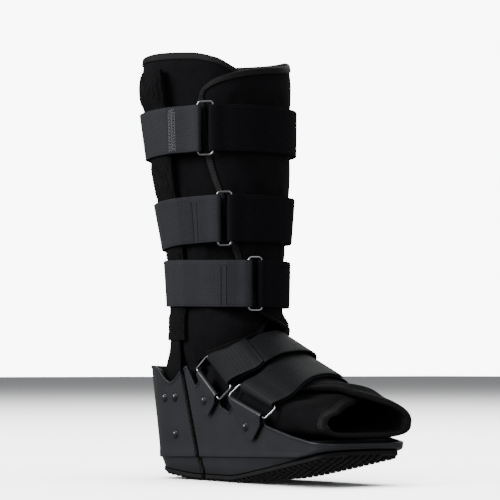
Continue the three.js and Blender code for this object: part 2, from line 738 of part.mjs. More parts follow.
function footWrapAt(s, t) {
  const turn = blend(footStart, footEnd, s);
  const front = bootLength * read(footFront, "turn", "along", turn);
  const rear = bootLength * read(footRear, "turn", "along", turn);
  const underFlap = ease(turn, footEnd + fullTurn - 34, footEnd + fullTurn - 2);
  const outerFlap = ease(-turn, fullTurn - footStart - 50, fullTurn - footStart - 8);
  const side = blend(linerWall, flapWall, Math.max(underFlap, outerFlap));
  const thick = blend(side, floorWall, ease(-Math.cos(radians(turn)), 0.3, 0.75));
  const y = blend(front, rear, t);
  const sink = flapSink * underFlap;
  return { outer: footPoint(turn, y, -sink), inner: footPoint(turn, y, -sink - thick) };
}

const footColumns = [0, ...steps(18).map((t) => blend(0.021, 0.94, t)), 0.979, 1];
function footRows(s) {
  const turn = blend(footStart, footEnd, s);
  const front = read(footFront, "turn", "along", turn);
  const rear = read(footRear, "turn", "along", turn);
  return taped(7, bindingReach / ((rear - front) * bootLength));
}

// Tape round the toe opening, and from there up the outer flap's free edge.
function footTapeStations() {
  const [c, last] = [footColumns, footColumns.length - 1];
  const stations = c.slice(2, -1).map((s) => [[s, 0], [s, footRows(s)[1]]]);
  const corner = footRows(c[last - 1])[1];
  const edge = footRows(1).slice(1, -1).map((t, j) => [[1, t], [c[last - 1], footRows(c[last - 1])[j + 1]]]);
  return [...stations, [[1, 0], [c[last - 1], corner]], ...edge];
}

// The heel of the foot liner: a cup that carries on from the wrap.
const cupTop = 0.253 * linerHeight;
const cupFront = 0.125 * bootLength;
const heelLean = (z) => 0.5 * lean(z);
const linerRoom = uprightThickness + 5 * gap; // between the liner and the shell's inside

function cupPlan(z, thinner, front, height) {
  const out = heelLean(z) - shellWall - linerRoom - thinner;
  const side = [[shellWide(heelReach - heelRound) + out, front]];
  steps(6).forEach((t) => side.push(heelPoint(90 * t, out, 0)));
  const other = side.slice(0, -1).reverse().map(([x, y]) => [-x, y]);
  return [...side, ...other].map(([x, y]) => point(x, y, height(y)));
}

function heelCup() {
  const levels = [0.3, 8, 0.6 * cupTop, cupTop];
  const taper = [7, 0, 0, 0];
  const heightAt = (level, i) => (y) => (i < 2 ? footBottom(y) + level : level);
  const outer = loft(levels.map((z, i) => cupPlan(Math.max(z, floorAtHeel), taper[i], cupFront, heightAt(z, i))));
  const inside = [0.3 + linerWall, 8 + linerWall, 0.6 * cupTop, 1.2 * cupTop];
  const front = cupFront - linerWall;
  const inner = inside.map((z, i) => cupPlan(Math.max(z, floorAtHeel), linerWall + taper[i], front, heightAt(z, i)));
  return cut(outer, loft(inner));
}

// Uprights and sleeves, on the liner's outer and inner side

const uprightMiddle = [
  { up: 0.05, along: 0.259 },
  { up: 0.25, along: 0.259 },
  { up: 0.33, along: 0.2467 },
  { up: 0.44, along: 0.2368 },
  { up: 0.67, along: 0.2428 },
  { up: 0.9, along: 0.2664 },
  { up: 1, along: 0.2714 },
];

// A point on the leg's side, a distance back from the upright's middle line and a lift above the liner.
function sidePoint(side, back, z, lift) {
  const { wide, deep, middle } = legSection(z);
  const y = bootLength * read(uprightMiddle, "up", "along", z / linerHeight) + back;
  const share = clamp(Math.abs(y - middle) / deep, 0, 0.98);
  const x = wide * (1 - share ** legRoundness) ** (1 / legRoundness);
  const turn = Math.atan2(x, middle - y);
  return point(side * (x + lift * Math.sin(turn)), y - lift * Math.cos(turn), z);
}

const places = [-1, -0.35, 0.35, 1]; // across a bar or a sleeve
const sleeveLift = 1.5;
const sleeveSpace = 2.4 * gap; // room round the bar in its sleeve
const sleeveDepth = uprightThickness + 2 * sleeveWall + sleeveSpace;
const sleeveLevels = steps(6).map((t) => blend(sleeveBottom, sleeveTop, t));

// Inside the shell the bar lies flat against the shell's inner face. Above it the bar follows the leg.
function uprightPoint(side, back, z, lift) {
  const low = sleeveLift + sleeveWall + sleeveSpace / 2;
  const onLeg = sidePoint(side, back, z, low + lift);
  const middle = bootLength * read(uprightMiddle, "up", "along", z / linerHeight);
  const wallInside = shellSide(middle + uprightWidth / 2 + 2, z) - shellWall;
  const inShell = point(side * (wallInside - 2.8 * gap - uprightThickness + lift), middle + back, z);
  return inShell.lerp(onLeg, ease(z, 0.9 * shellHeight, 1.2 * shellHeight));
}

function uprightBar(side) {
  const inShell = [uprightFoot, 0.6 * shellHeight, 0.9 * shellHeight, 1.0 * shellHeight, 1.1 * shellHeight];
  const levels = [...inShell, ...sleeveLevels.slice(0, -1), uprightTop];
  const rows = levels.map((z, i) => {
    const half = (uprightWidth / 2) * (i === 0 || i === levels.length - 1 ? 0.7 : 1);
    const under = places.map((t) => uprightPoint(side, t * half, z, 0));
    const over = places.map((t) => uprightPoint(side, t * half, z, uprightThickness));
    return [...under, ...over.reverse()];
  });
  return loft(rows);
}

function sleeveRow(side, z, half, low, high, corner) {
  const at = (t, lift) => sidePoint(side, t * half, z, lift);
  const under = places.map((t) => at(t, low + (Math.abs(t) === 1 ? corner : 0)));
  const over = places.map((t) => at(t, high - (Math.abs(t) === 1 ? corner : 0)));
  return [...under, ...over.reverse()];
}

function sleeve(side) {
  const half = sleeveWidth / 2;
  const outer = sleeveLevels.map((z, i) => {
    const slim = i === sleeveLevels.length - 1 ? 0.85 : 1;
    return sleeveRow(side, z, half * slim, sleeveLift, sleeveLift + sleeveDepth, 1.2);
  });
  const innerHalf = uprightWidth / 2 + 2 * gap;
  const low = sleeveLift + sleeveWall;
  const levels = [sleeveBottom - 5, ...sleeveLevels.slice(0, -1), uprightTop + 3];
  const hollow = levels.map((z) => sleeveRow(side, z, innerHalf, low, low + uprightThickness + sleeveSpace, 0));
  return cut(loft(outer), loft(hollow));
}

// Leg straps

// Outline of what a leg strap wraps at a height: the liner with its edge tape, and the two sleeves.
function strapCore(z) {
  const tape = bindingWall + bindingGap + 2 * gap;
  const round = steps(48).map((t) => legPoint(fullTurn * t, z, tape));
  const half = sleeveWidth / 2;
  const corners = [-1, 1].flatMap((side) => {
    const high = sleeveLift + sleeveDepth + 2 * gap;
    return [-1, -0.35, 0.35, 1].map((t) => sidePoint(side, t * half, z, high));
  });
  const points = [...round, ...corners].map((p) => [p.x, p.y]).sort((a, b) => a[0] - b[0] || a[1] - b[1]);
  const turnsLeft = (a, b, c) => (b[0] - a[0]) * (c[1] - a[1]) - (b[1] - a[1]) * (c[0] - a[0]) > 0;
  const chain = (list) => {
    const kept = [];
    list.forEach((p) => {
      while (kept.length > 1 && !turnsLeft(kept.at(-2), kept.at(-1), p)) kept.pop();
      kept.push(p);
    });
    return kept.slice(0, -1);
  };
  return [...chain(points), ...chain([...points].reverse())];
}

// How far the strap's core reaches from the leg's middle at a turn.
function coreReach(core, middle, turn) {
  const a = radians(turn);
  const [dx, dy] = [Math.sin(a), -Math.cos(a)];
  let reach = 0;
  core.forEach(([x0, y0], i) => {
    const [x1, y1] = core[(i + 1) % core.length];
    const [ex, ey] = [x1 - x0, y1 - y0];
    const area = dx * ey - dy * ex;
    if (Math.abs(area) < 1e-9) return;
    const distance = (x0 * ey - (y0 - middle) * ex) / area;
    const share = (x0 * dy - (y0 - middle) * dx) / area;
    if (distance > 0 && share >= -1e-6 && share <= 1 + 1e-6) reach = Math.max(reach, distance);
  });
  return reach;
}

// The top and bottom line that a strap follows, as functions of the turn and the lift above the core.
function strapTrack(strap) {
  const height = linerHeight * strap.up;
  const { middle } = legSection(height);
  const cores = [-1, -0.5, 0, 0.5, 1].map((edge) => ({ edge, core: strapCore(height + (edge * strapWidth) / 2) }));
  return (turn, lift, wider = 0) => {
    const a = radians(turn);
    const away = 0.5 - 0.5 * Math.cos(radians(clamp(turn - strap.turn, -150, 0) * 1.2));
    const dropped = linerHeight * strap.drop * away;
    const spread = [-4.5, -2, 0, 2, 4.5];
    const reach = cores.map(({ core }) => Math.max(...spread.map((by) => coreReach(core, middle, turn + by))));
    const [low, high] = [reach[0], reach.at(-1)];
    const bulge = Math.max(...cores.map(({ edge }, i) => reach[i] - blend(low, high, (edge + 1) / 2)));
    const slope = (high - low) / strapWidth;
    return [-1, 1].map((edge) => {
      const up = edge * (strapWidth / 2 + wider);
      const r = (low + high) / 2 + slope * (up - dropped) + bulge + lift;
      return point(r * Math.sin(a), middle - r * Math.cos(a), height + up - dropped);
    });
  };
}

// A strap that comes from one side, turns round a ring's bar and lies back over itself.
function foldedStrap(track, barTurn, direction, from, tail, thickness) {
  const barLift = thickness + barRoom + ringWire;
  const degrees = 1 / track(barTurn - 0.5, barLift)[0].distanceTo(track(barTurn + 0.5, barLift)[0]);
  const bend = ringWire + barRoom + thickness / 2;
  const places = [];
  const rise = (t) => barLift + t;
  const runs = Math.max(4, Math.round(Math.abs(from - barTurn) / 9));
  steps(runs).forEach((t) => places.push({ turn: blend(from, barTurn, t), lift: thickness / 2, lean: 0 }));
  steps(6).slice(1, -1).forEach((t) => {
    const a = Math.PI * t;
    const turn = barTurn + direction * bend * Math.sin(a) * degrees;
    places.push({ turn, lift: rise(-bend * Math.cos(a)), lean: a });
  });
  places[runs].lift = thickness / 2;
  const back = Math.max(4, Math.round(Math.abs(tail - barTurn) / 9));
  steps(back).forEach((t) => {
    const turn = blend(barTurn, tail, t);
    const travelled = Math.abs(turn - barTurn) / degrees;
    const lift = blend(rise(bend), 1.5 * thickness + gap, ease(travelled, 0, 14));
    places.push({ turn, lift, lean: Math.PI });
  });
  const rows = places.map(({ turn, lift, lean: a }) => {
    const half = thickness / 2;
    const corner = (sign) => {
      const along = -direction * sign * half * Math.sin(a) * degrees;
      return track(turn - along, lift - sign * half * Math.cos(a));
    };
    const [insideLow, insideHigh] = corner(-1);
    const [outsideLow, outsideHigh] = corner(1);
    return [insideLow, insideHigh, outsideHigh, outsideLow];
  });
  return loft(rows);
}

// A wire ring through four corners, given in order, with cut corners.
function wireRing(corners) {
  const cutCorner = 2.6;
  const path = corners.flatMap((corner, i) => {
    const [before, after] = [corners[(i + 3) % 4], corners[(i + 1) % 4]];
    const towards = (other) => corner.clone().add(other.clone().sub(corner).setLength(cutCorner));
    return [towards(before), corner.clone().lerp(towards(before).lerp(towards(after), 0.5), 0.55), towards(after)];
  });
  const normal = corners[2].clone().sub(corners[0]).cross(corners[3].clone().sub(corners[1])).normalize();
  const rows = path.map((p, i) => {
    const [before, after] = [path[(i + path.length - 1) % path.length], path[(i + 1) % path.length]];
    const along = after.clone().sub(before).normalize();
    const out = along.clone().cross(normal).normalize();
    return steps(6).slice(1).map((t) => {
      const a = 2 * Math.PI * t;
      return p.clone().addScaledVector(out, ringWire * Math.cos(a)).addScaledVector(normal, ringWire * Math.sin(a));
    });
  });
  return loft(rows, { ring: true });
}

// Foot straps, tabs and rings

// The flat frame of a tab: it stands on the shell's side, under the folded edge that holds the ring.
function tabFrame(side, strap) {
  const [rear, front] = strap.fold.map(({ along, up }) => {
    const [y, z] = [along * bootLength, up * shellHeight];
    return point(side * shellSide(y, z), y, z);
  });
  const along = front.clone().sub(rear);
  const length = along.length();
  along.normalize();
  const middle = rear.clone().lerp(front, 0.5);
  const low = middle.clone().add(point(0, -along.z, along.y).setLength(tabDrop));
  low.x = side * shellSide(low.y, low.z);
  const down = low.sub(middle).projectOnPlane(along).normalize();
  const out = along.clone().cross(down).multiplyScalar(side < 0 ? 1 : -1);
  if (out.x * side < 0) out.negate();
  return { middle, along, down, out, length };
}

const tabLift = 2.2 * gap; // a flat tab on the slightly round side

// A place from the fold's middle: along the fold, down towards the point, and out from the shell.
const onTab = (frame, u, v, w) =>
  frame.middle.clone().addScaledVector(frame.along, u).addScaledVector(frame.down, v).addScaledVector(frame.out, w + tabLift);

const barOut = tabPlate + gap + ringWire; // from a tab's back face to the middle of the ring's bar
const tabFront = 2 * tabPlate + gap; // from a tab's back face to its front face

function tabGeometry(frame) {
  const inner = ringWire + gap;
  const arc = (radius, from, to) =>
    steps(4).map((t) => {
      const a = blend(from, to, t);
      return [-radius * Math.sin(a), barOut - radius * Math.cos(a)];
    });
  const outside = arc(inner + tabPlate, 0.05, Math.PI + 0.1);
  const inside = arc(inner, Math.PI + 0.1, 0.05);
  const frontFace = [[12, tabFront], [tabDrop + 5, tabFront], [tabDrop + 5, tabFront - tabPlate]];
  const backFace = [[tabDrop + 5, tabPlate], [tabDrop + 5, 0]];
  const profile = [...outside, ...frontFace, [12, tabFront - tabPlate], ...inside, ...backFace];
  const rows = [-0.5, 0.5].map((t) => profile.map(([v, w]) => onTab(frame, t * frame.length, v, w)));
  const half = frame.length / 2;
  const [head, toe] = [-9, tabDrop];
  const corners = [[-half, head], [half, head], [half, 6], [tabPoint + 3, toe - 1], [tabPoint - 3, toe - 1], [-half, 3]];
  const prism = [-6, 14].map((w) => corners.map(([u, v]) => onTab(frame, u, v, w)));
  return geometryOf(solid(loft(rows)).intersect(solid(loft(prism))));
}

// A part that was made along +Y, stood on a place with its axis outwards.
function standing(geometry, place, outward) {
  const turn = new THREE.Quaternion().setFromUnitVectors(point(0, 1, 0), outward);
  return geometry.applyQuaternion(turn).translate(place.x, place.y, place.z);
}

// The two edges of a foot strap at a place along it and a lift above what it lies on, front edge first.
function footTrack(strap) {
  const base = bindingWall + bindingGap + 3.2 * gap + strap.rise;
  const slope = 70; // degrees round the foot for each unit of place, before the ring
  return (at, lift, wider = 0) => {
    const over = strap.overlap * ease(at, 0.22, 0.4) * (1 - 0.5 * ease(at, 1, 1.2));
    const column = (name) => read(strap.edges, "at", name, at);
    const before = Math.min(0, at) * slope;
    const front = footPoint(column("frontTurn") + before, bootLength * column("front"), base + over + lift);
    const rear = footPoint(column("rearTurn") + before, bootLength * column("rear"), base + lift);
    const more = front.clone().sub(rear).setLength(wider);
    return [front.add(more), rear.sub(more)];
  };
}

// A foot strap from the shell's inner side over the foot, round the ring's bar and back over itself.
function footStrap(strap, wing) {
  const track = footTrack(strap);
  const thick = footStrapThickness;
  const half = thick / 2;
  const bar = thick + barRoom + ringWire;
  const bend = ringWire + barRoom + half;
  const scale = track(-0.02, bar)[0].distanceTo(track(0, bar)[0]) / 0.02;
  const onWing = (v, w) => [0.46, -0.46].map((t) => onTab(wing, t * wing.length, v, w));
  const rows = [20, 9, -3].map((v) => [onWing(v, 0.5), onWing(v, thick + 0.5)]);
  steps(10).forEach((t) => rows.push([track(1.2 * (1 - t), 0), track(1.2 * (1 - t), thick)]));
  steps(6).slice(1, -1).forEach((t) => {
    const a = Math.PI * t;
    const at = (radius) => track((-radius * Math.sin(a)) / scale, bar - radius * Math.cos(a));
    rows.push([at(bend + half), at(bend - half)]);
  });
  steps(6).forEach((t) => {
    const at = strap.tail * t;
    const lift = blend(bar + bend, 1.5 * thick + 1.2 * gap, ease(at, 0, 0.2));
    rows.push([track(at, lift + half), track(at, lift - half)]);
  });
  return loft(rows.map(([[lowFront, lowRear], [highFront, highRear]]) => [lowFront, lowRear, highRear, highFront]));
}

// Outsole

function outsole() {
  const inset = -bandInset - bandTaper + 0.5;
  const rows = [
    planRow(0, inset, soleBottom),
    planRow(0, inset, (y) => soleBottom(y) + soleThickness - gap),
  ];
  let body = solid(loft(rows, { across: true }));
  const count = Math.floor(bootLength / treadPitch);
  for (let i = 0; i < count; i += 1) {
    const y = -toeReach + (i + 0.7) * treadPitch;
    const [z, half] = [soleBottom(y) + treadDepth, treadGroove / 2];
    const slope = (soleBottom(y + half) - soleBottom(y - half)) / treadGroove;
    const low = -treadPitch;
    const outline = [[y - half, z - half * slope], [y + half, z + half * slope], [y + half, low], [y - half, low]];
    body = body.subtract(solid(throughWidth(outline)));
  }
  const ends = [-toeReach - 5, heelReach + 5];
  for (let k = 1; k < treadRows; k += 1) {
    const x = shellHalfWidth * ((2 * k) / treadRows - 1);
    const section = (y) => {
      const z = soleBottom(clamp(y, -toeReach, heelReach)) + treadDepth;
      const [left, right] = [x - treadGroove / 2, x + treadGroove / 2];
      return [point(left, y, -treadPitch), point(right, y, -treadPitch), point(right, y, z), point(left, y, z)];
    };
    body = body.subtract(solid(loft(steps(8).map((t) => section(blend(...ends, t))))));
  }
  return geometryOf(body);
}

function insole() {
  const inset = -shellWall - 1.5;
  const levels = [gap, gap + insoleThickness];
  return loft(levels.map((lift) => planRow(hollowStart, inset, (y) => footPlate(y) + lift)), { across: true });
}

// Assembly

const sides = [
  { name: "outer", side: -1 },
  { name: "inner", side: 1 },
];
const frames = footStraps.map((strap) => sides.map(({ side }) => tabFrame(side, strap)));

// The rivets that hold the foot straps: through a tab on the outer side, through the strap on the inner side.
const strapRivets = footStraps.flatMap(({ name }, i) => {
  const [outer, inner] = frames[i];
  const seat = (frame, out) => onTab(frame, tabRivet.along, tabRivet.down, out);
  return [
    { name: `rivet_${name}_outer`, place: seat(outer, tabFront), out: outer.out, depth: tabFront + tabLift + shellWall },
    { name: `rivet_${name}_inner`, place: seat(inner, footStrapThickness + 0.5), out: inner.out, depth: 6.9 },
  ];
});
const strapRivetHoles = () => strapRivets.map(({ place, out }) => standing(rivetHole(12), place, out));

function shellGeometry() {
  const tools = [shellHollow(), shellSideCut(), ...strapRivetHoles()];
  sides.forEach(({ side }) => {
    rivetSpots.forEach(({ along, up }) => {
      const [y, z] = [along * bootLength, up * shellHeight];
      tools.push(onSide(rivetHole(2 * shellWall), side, shellSide(y, z), y, z, sideTilt));
    });
  });
  return cut(shellBody(), ...tools);
}

add("shell", shellGeometry(), materials.shell);
add("outsole", outsole(), materials.rubber);
add("insole", insole(), materials.padding);
const legTape = tapeStations(legColumns, () => legRows, 7, legColumns.length - 7);
const footTape = footTapeStations();
const legWrap = wrapWall(legWrapAt, legColumns, () => legRows);
const footWrap = join(wrapWall(footWrapAt, footColumns, footRows), heelCup());
const legBinding = edgeTape(legWrapAt, legTape);
const footBinding = edgeTape(footWrapAt, footTape);
add("leg_liner", cut(legWrap, edgeTape(legWrapAt, legTape, tapeRoom)), materials.padding);
add("foot_liner", cut(footWrap, edgeTape(footWrapAt, footTape, tapeRoom)), materials.padding);
add("leg_binding", legBinding, materials.tape);
add("foot_binding", footBinding, materials.tape);

sides.forEach(({ name, side }) => {
  const holes = rivetSpots.map(({ along, up }) => {
    const [y, z] = [along * bootLength, up * shellHeight];
    return onSide(rivetHole(3 * shellWall), side, shellSide(y, z), y, z, sideTilt);
  });
  add(`upright_${name}`, cut(uprightBar(side), ...holes), materials.upright);
  add(`upright_sleeve_${name}`, sleeve(side), materials.pile);
  rivetSpots.forEach((spot) => {
    const [y, z] = [spot.along * bootLength, spot.up * shellHeight];
    const rivet = onSide(rivetShape(shellWall + uprightThickness), side, shellSide(y, z), y, z, sideTilt);
    add(`rivet_${spot.name}_${name}`, rivet, materials.rivet);
  });
});

legStraps.forEach((strap) => {
  const track = strapTrack(strap);
  const degrees = 180 / Math.PI / calfHalfWidth;
  const halfGap = (ringGap / 2) * degrees;
  const [outerBar, innerBar] = [strap.turn - halfGap, strap.turn + halfGap];
  const webbing = foldedStrap(track, outerBar, 1, webbingStart, outerBar - webbingTail, webbingThickness);
  const pile = foldedStrap(track, innerBar, -1, pileStart, strap.tail, pileThickness);
  add(`webbing_${strap.name}`, webbing, materials.webbing);
  add(`strap_${strap.name}`, pile, materials.pile);
  const bar = (turn, thickness) => track(turn, thickness + barRoom + ringWire, ringEnd);
  const [outerLow, outerHigh] = bar(outerBar, webbingThickness);
  const [innerLow, innerHigh] = bar(innerBar, pileThickness);
  add(`ring_${strap.name}`, wireRing([outerLow, outerHigh, innerHigh, innerLow]), materials.steel);
});

footStraps.forEach((strap, i) => {
  const [outer, inner] = frames[i];
  add(`strap_${strap.name}`, cut(footStrap(strap, inner), ...strapRivetHoles()), materials.webbing);
  add(`tab_${strap.name}`, cut(tabGeometry(outer), ...strapRivetHoles()), materials.shell);
  const lower = [-0.5, 0.5].map((t) => onTab(outer, t * (outer.length + 2 * footRingEnd), 0, barOut));
  const [front, rear] = footTrack(strap)(0, footStrapThickness + barRoom + ringWire, footRingEnd);
  add(`ring_${strap.name}`, wireRing([lower[0], lower[1], front, rear]), materials.steel);
});
strapRivets.forEach(({ name, place, out, depth }) => {
  add(name, standing(rivetShape(depth), place, out), materials.rivet);
});

export default boot;
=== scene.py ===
import json
import math

import bmesh
import bpy
import mathutils
import numpy as np
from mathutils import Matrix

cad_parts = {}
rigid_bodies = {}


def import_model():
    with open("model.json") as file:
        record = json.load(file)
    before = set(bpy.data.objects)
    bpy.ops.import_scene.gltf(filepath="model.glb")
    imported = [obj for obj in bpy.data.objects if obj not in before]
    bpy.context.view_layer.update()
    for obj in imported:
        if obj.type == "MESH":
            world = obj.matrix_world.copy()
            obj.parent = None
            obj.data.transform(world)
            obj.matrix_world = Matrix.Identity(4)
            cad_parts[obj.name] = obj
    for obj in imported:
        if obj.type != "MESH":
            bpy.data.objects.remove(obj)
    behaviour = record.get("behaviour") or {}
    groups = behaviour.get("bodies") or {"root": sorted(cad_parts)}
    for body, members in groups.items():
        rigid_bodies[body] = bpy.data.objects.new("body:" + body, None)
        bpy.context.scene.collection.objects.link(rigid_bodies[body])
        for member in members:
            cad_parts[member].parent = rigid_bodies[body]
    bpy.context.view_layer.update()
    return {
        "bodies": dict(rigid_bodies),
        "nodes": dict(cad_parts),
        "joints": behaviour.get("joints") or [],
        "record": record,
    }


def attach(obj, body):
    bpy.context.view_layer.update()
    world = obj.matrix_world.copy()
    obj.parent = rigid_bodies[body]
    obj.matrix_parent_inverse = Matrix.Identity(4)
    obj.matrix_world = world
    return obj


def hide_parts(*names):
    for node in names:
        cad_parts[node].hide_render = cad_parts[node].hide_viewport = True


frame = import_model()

bl_info = {
    "name": "Walking boot",
    "version": (1, 0, 0),
    "blender": (4, 5, 0),
    "location": "3D View > Sidebar > Boot",
    "description": "Dresses the boot's solids with padding, webbing, moulded plastic, wire and rubber",
    "category": "Object",
}

MM = 0.001

# Sizes of the solids, in millimetres, as the part's source names them

GAP = 0.4
LINER_HEIGHT = 450
CALF_HALF_WIDTH = 74
CALF_DEPTH = 165
LEG_ROUNDNESS = 2.15
LINER_WALL = 8.5
FLOOR_WALL = 4.2
FLAP_FLARE = 9
FLAP_WALL = 5.5
TOE_REACH = 179
HEEL_REACH = 124
BOOT_LENGTH = TOE_REACH + HEEL_REACH
SHELL_HALF_WIDTH = 57
SHELL_WALL = 3.5
SHELL_HEIGHT = 120.5
SHELL_FLARE = 6
FLOOR_AT_HEEL = 34
FLOOR_RISE = 8
SOLE_THICKNESS = 6.5
ROCKER_START = 8
ROCKER_SLOPE = 0.2
HEEL_START = 40
HEEL_SLOPE = 0.12
ROCKER_BLEND = 25
GROOVE_DEPTH = 5.5
GROOVE_FLOOR = 1.8
GROOVE_WALL_END = 3.68
GROOVE_SPAN = (24, 66)
FOOT_HALF_WIDTH = 56
INSTEP_HEIGHT = 145
SOLE_ROUNDNESS = 3.2
INSOLE_THICKNESS = 4
BINDING_WALL = 0.9
BINDING_GAP = 0.55
UPRIGHT_WIDTH = 27
UPRIGHT_THICKNESS = 2.5
UPRIGHT_FOOT = 41
UPRIGHT_TOP = 424
SLEEVE_WIDTH = 45
SLEEVE_WALL = 1.5
SLEEVE_BOTTOM = 147
SLEEVE_TOP = 433
SLEEVE_PUFF = 4.2
PUFF_HEIGHT = 410
PUFF_SPREAD = 18
STRAP_WIDTH = 49
WEBBING_THICKNESS = 1.5
PILE_THICKNESS = 2.2
RING_WIRE = 1.4
RING_GAP = 15
RING_END = 3.2
FOOT_RING_END = 5.4
BAR_ROOM = 2 * GAP
FOOT_STRAP_THICKNESS = 1.8
TAB_PLATE = 1.2
TAB_DROP = 31
TAB_POINT = 13
TAB_RIVET = (3, 20)
RIVET_HEAD = 4.3
RIVET_DOME = 2.6
HEEL_ROUND = 0.13 * BOOT_LENGTH
HEEL_ROUNDNESS = 2.6
HEEL_BACK = 6
TOE_ROUND = 0.075 * BOOT_LENGTH
TOE_BOW = 0.012 * BOOT_LENGTH
BAND_INSET = 2.5
BAND_TAPER = 3
WEBBING_START = -252
WEBBING_TAIL = 26
PILE_START = 100
TREAD_DEPTH = 2.2

# Tables: lengths are shares of the sizes above, angles are degrees

LEG_SECTIONS = {
    "up": (0.08, 0.255, 0.333, 0.367, 0.4, 0.467, 0.531, 0.664, 0.756, 0.904, 1),
    "wide": (0.565, 0.575, 0.635, 0.65, 0.66, 0.68, 0.715, 0.835, 0.905, 0.975, 1.005),
    "front": (-0.1, -0.105, -0.115, -0.118, -0.12, -0.12, -0.118, -0.126, -0.12, -0.112, -0.104),
    "back": (0.715, 0.71, 0.67, 0.655, 0.645, 0.645, 0.665, 0.735, 0.795, 0.875, 0.9),
}
FLAP_EDGE = (
    (0.349, 30), (0.36, 20), (0.376, 2), (0.396, -12), (0.453, -22), (0.507, -29),
    (0.544, -34), (0.602, -39), (0.664, -45), (0.7, -49), (0.742, -52), (0.882, -55),
)
LEG_TOP = (
    (-415, 0.882), (-411, 0.906), (-402, 0.927), (-390, 0.94), (-375, 0.951), (-364, 0.957), (-329, 0.972),
    (-300, 0.992), (-180, 1), (-90, 0.999), (-62, 0.995), (-39, 0.981), (-27, 0.963), (-15, 0.942),
    (-5, 0.928), (25, 0.9),
)
LEG_BOTTOM = (
    (-329, 0.349), (-315, 0.33), (-300, 0.305), (-280, 0.279), (-271, 0.262), (-260, 0.2605), (-180, 0.2605),
    (-100, 0.2605), (-89, 0.262), (-80, 0.279), (-60, 0.291), (-40, 0.306), (-20, 0.324), (0, 0.35),
    (25, 0.388), (60, 0.4),
)
FOOT_SECTIONS = {
    "along": (-0.59, -0.545, -0.493, -0.454, -0.37, -0.281, -0.197, -0.148, -0.079, 0, 0.069, 0.158),
    "wide": (1.02, 1.02, 1.0, 0.97, 0.955, 0.945, 0.93, 0.92, 0.88, 0.81, 0.735, 0.715),
    "top": (0.585, 0.61, 0.652, 0.688, 0.708, 0.768, 0.852, 0.922, 1.03, 1.13, 1.19, 1.23),
    "skew": (0.16, 0.16, 0.14, 0.12, 0.08, 0.06, 0.04, 0.03, 0.02, 0, 0, 0),
    "round": (2, 2, 2.1, 2.2, 2.3, 2.4, 2.4, 2.4, 2.4, 2.4, 2.4, 2.4),
}
FOOT_FRONT = (
    (-402, -0.34), (-396, -0.362), (-380, -0.43), (-365, -0.49), (-350, -0.52), (-330, -0.553),
    (-300, -0.574), (-270, -0.579), (-220, -0.574), (-180, -0.567), (-120, -0.561), (-90, -0.552),
    (-60, -0.534), (-30, -0.508), (25, -0.47),
)
FOOT_REAR = (
    (-402, -0.0888), (-345, -0.0868), (-325, -0.0543), (-308, 0.05), (-298, 0.132), (-282, 0.1451),
    (-262, 0.148), (-180, 0.148), (-98, 0.148), (-78, 0.1451), (-62, 0.132), (-52, 0.05),
    (-35, -0.0543), (-15, -0.0868), (25, -0.0888),
)
SHELL_PLAN = (
    (-0.52, 1.03), (-0.375, 1.025), (-0.276, 1.015), (-0.178, 0.995), (-0.079, 0.94), (0.02, 0.875),
    (0.118, 0.845), (0.276, 0.84),
)
SHELL_EDGE = (
    (-0.65, 0.355), (-0.592, 0.357), (-0.515, 0.373), (-0.416, 0.419), (-0.329, 0.474), (-0.283, 0.505),
    (-0.28, 0.55), (-0.122, 0.69), (-0.108, 0.66), (-0.087, 0.603), (-0.03, 0.652), (-0.026, 0.72),
    (0.068, 0.915), (0.09, 0.87), (0.112, 0.822), (0.16, 1.0), (0.182, 0.965), (0.202, 0.942),
    (0.23, 0.88), (0.256, 0.852), (0.284, 0.88), (0.308, 0.962), (0.342, 0.99), (0.386, 1), (0.5, 0.975),
)
UPRIGHT_MIDDLE = (
    (0.05, 0.259), (0.25, 0.259), (0.33, 0.2467), (0.44, 0.2368), (0.67, 0.2428), (0.9, 0.2664), (1, 0.2714),
)
LEG_STRAPS = {
    "top": {"up": 0.8155, "turn": -50, "drop": 0.012, "tail": 84},
    "middle": {"up": 0.606, "turn": -41, "drop": 0.0165, "tail": 82},
    "lower": {"up": 0.4555, "turn": -16, "drop": -0.006, "tail": 80},
}
FOOT_STRAPS = {
    "instep": {
        "tail": 0.33,
        "rise": 2,
        "overlap": 6.5,
        "fold": ((0.071, 0.943), (-0.033, 0.734)),
        "at": (0, 0.15, 0.3, 0.42, 0.6, 0.8, 1, 1.2),
        "rear_turn": (-58.8, -49.7, -35.1, -26.3, -9.1, 11.3, 30, 48),
        "rear": (0.066, -0.016, -0.069, -0.084, -0.082, -0.067, -0.045, -0.005),
        "front_turn": (-68.6, -56.7, -40.6, -30.2, -9.4, 12, 32, 51),
        "front": (-0.086, -0.141, -0.194, -0.211, -0.207, -0.197, -0.175, -0.13),
    },
    "forefoot": {
        "tail": 0.98,
        "rise": 0,
        "overlap": 0,
        "fold": ((-0.119, 0.717), (-0.287, 0.572)),
        "at": (0, 0.15, 0.3, 0.45, 0.62, 0.8, 1, 1.2),
        "rear_turn": (-65.4, -54, -42, -28, -9, 12, 30, 50),
        "rear": (-0.151, -0.183, -0.202, -0.197, -0.183, -0.168, -0.163, -0.148),
        "front_turn": (-76.1, -64.5, -50.4, -33.9, -9.2, 13.9, 32, 52),
        "front": (-0.325, -0.365, -0.385, -0.373, -0.347, -0.33, -0.329, -0.31),
    },
}
UPRIGHT_RIVETS = ((0.2931, 0.712), (0.2339, 0.717), (0.2418, 0.392))
SIDES = {"outer": -1, "inner": 1}


# Curves and sections


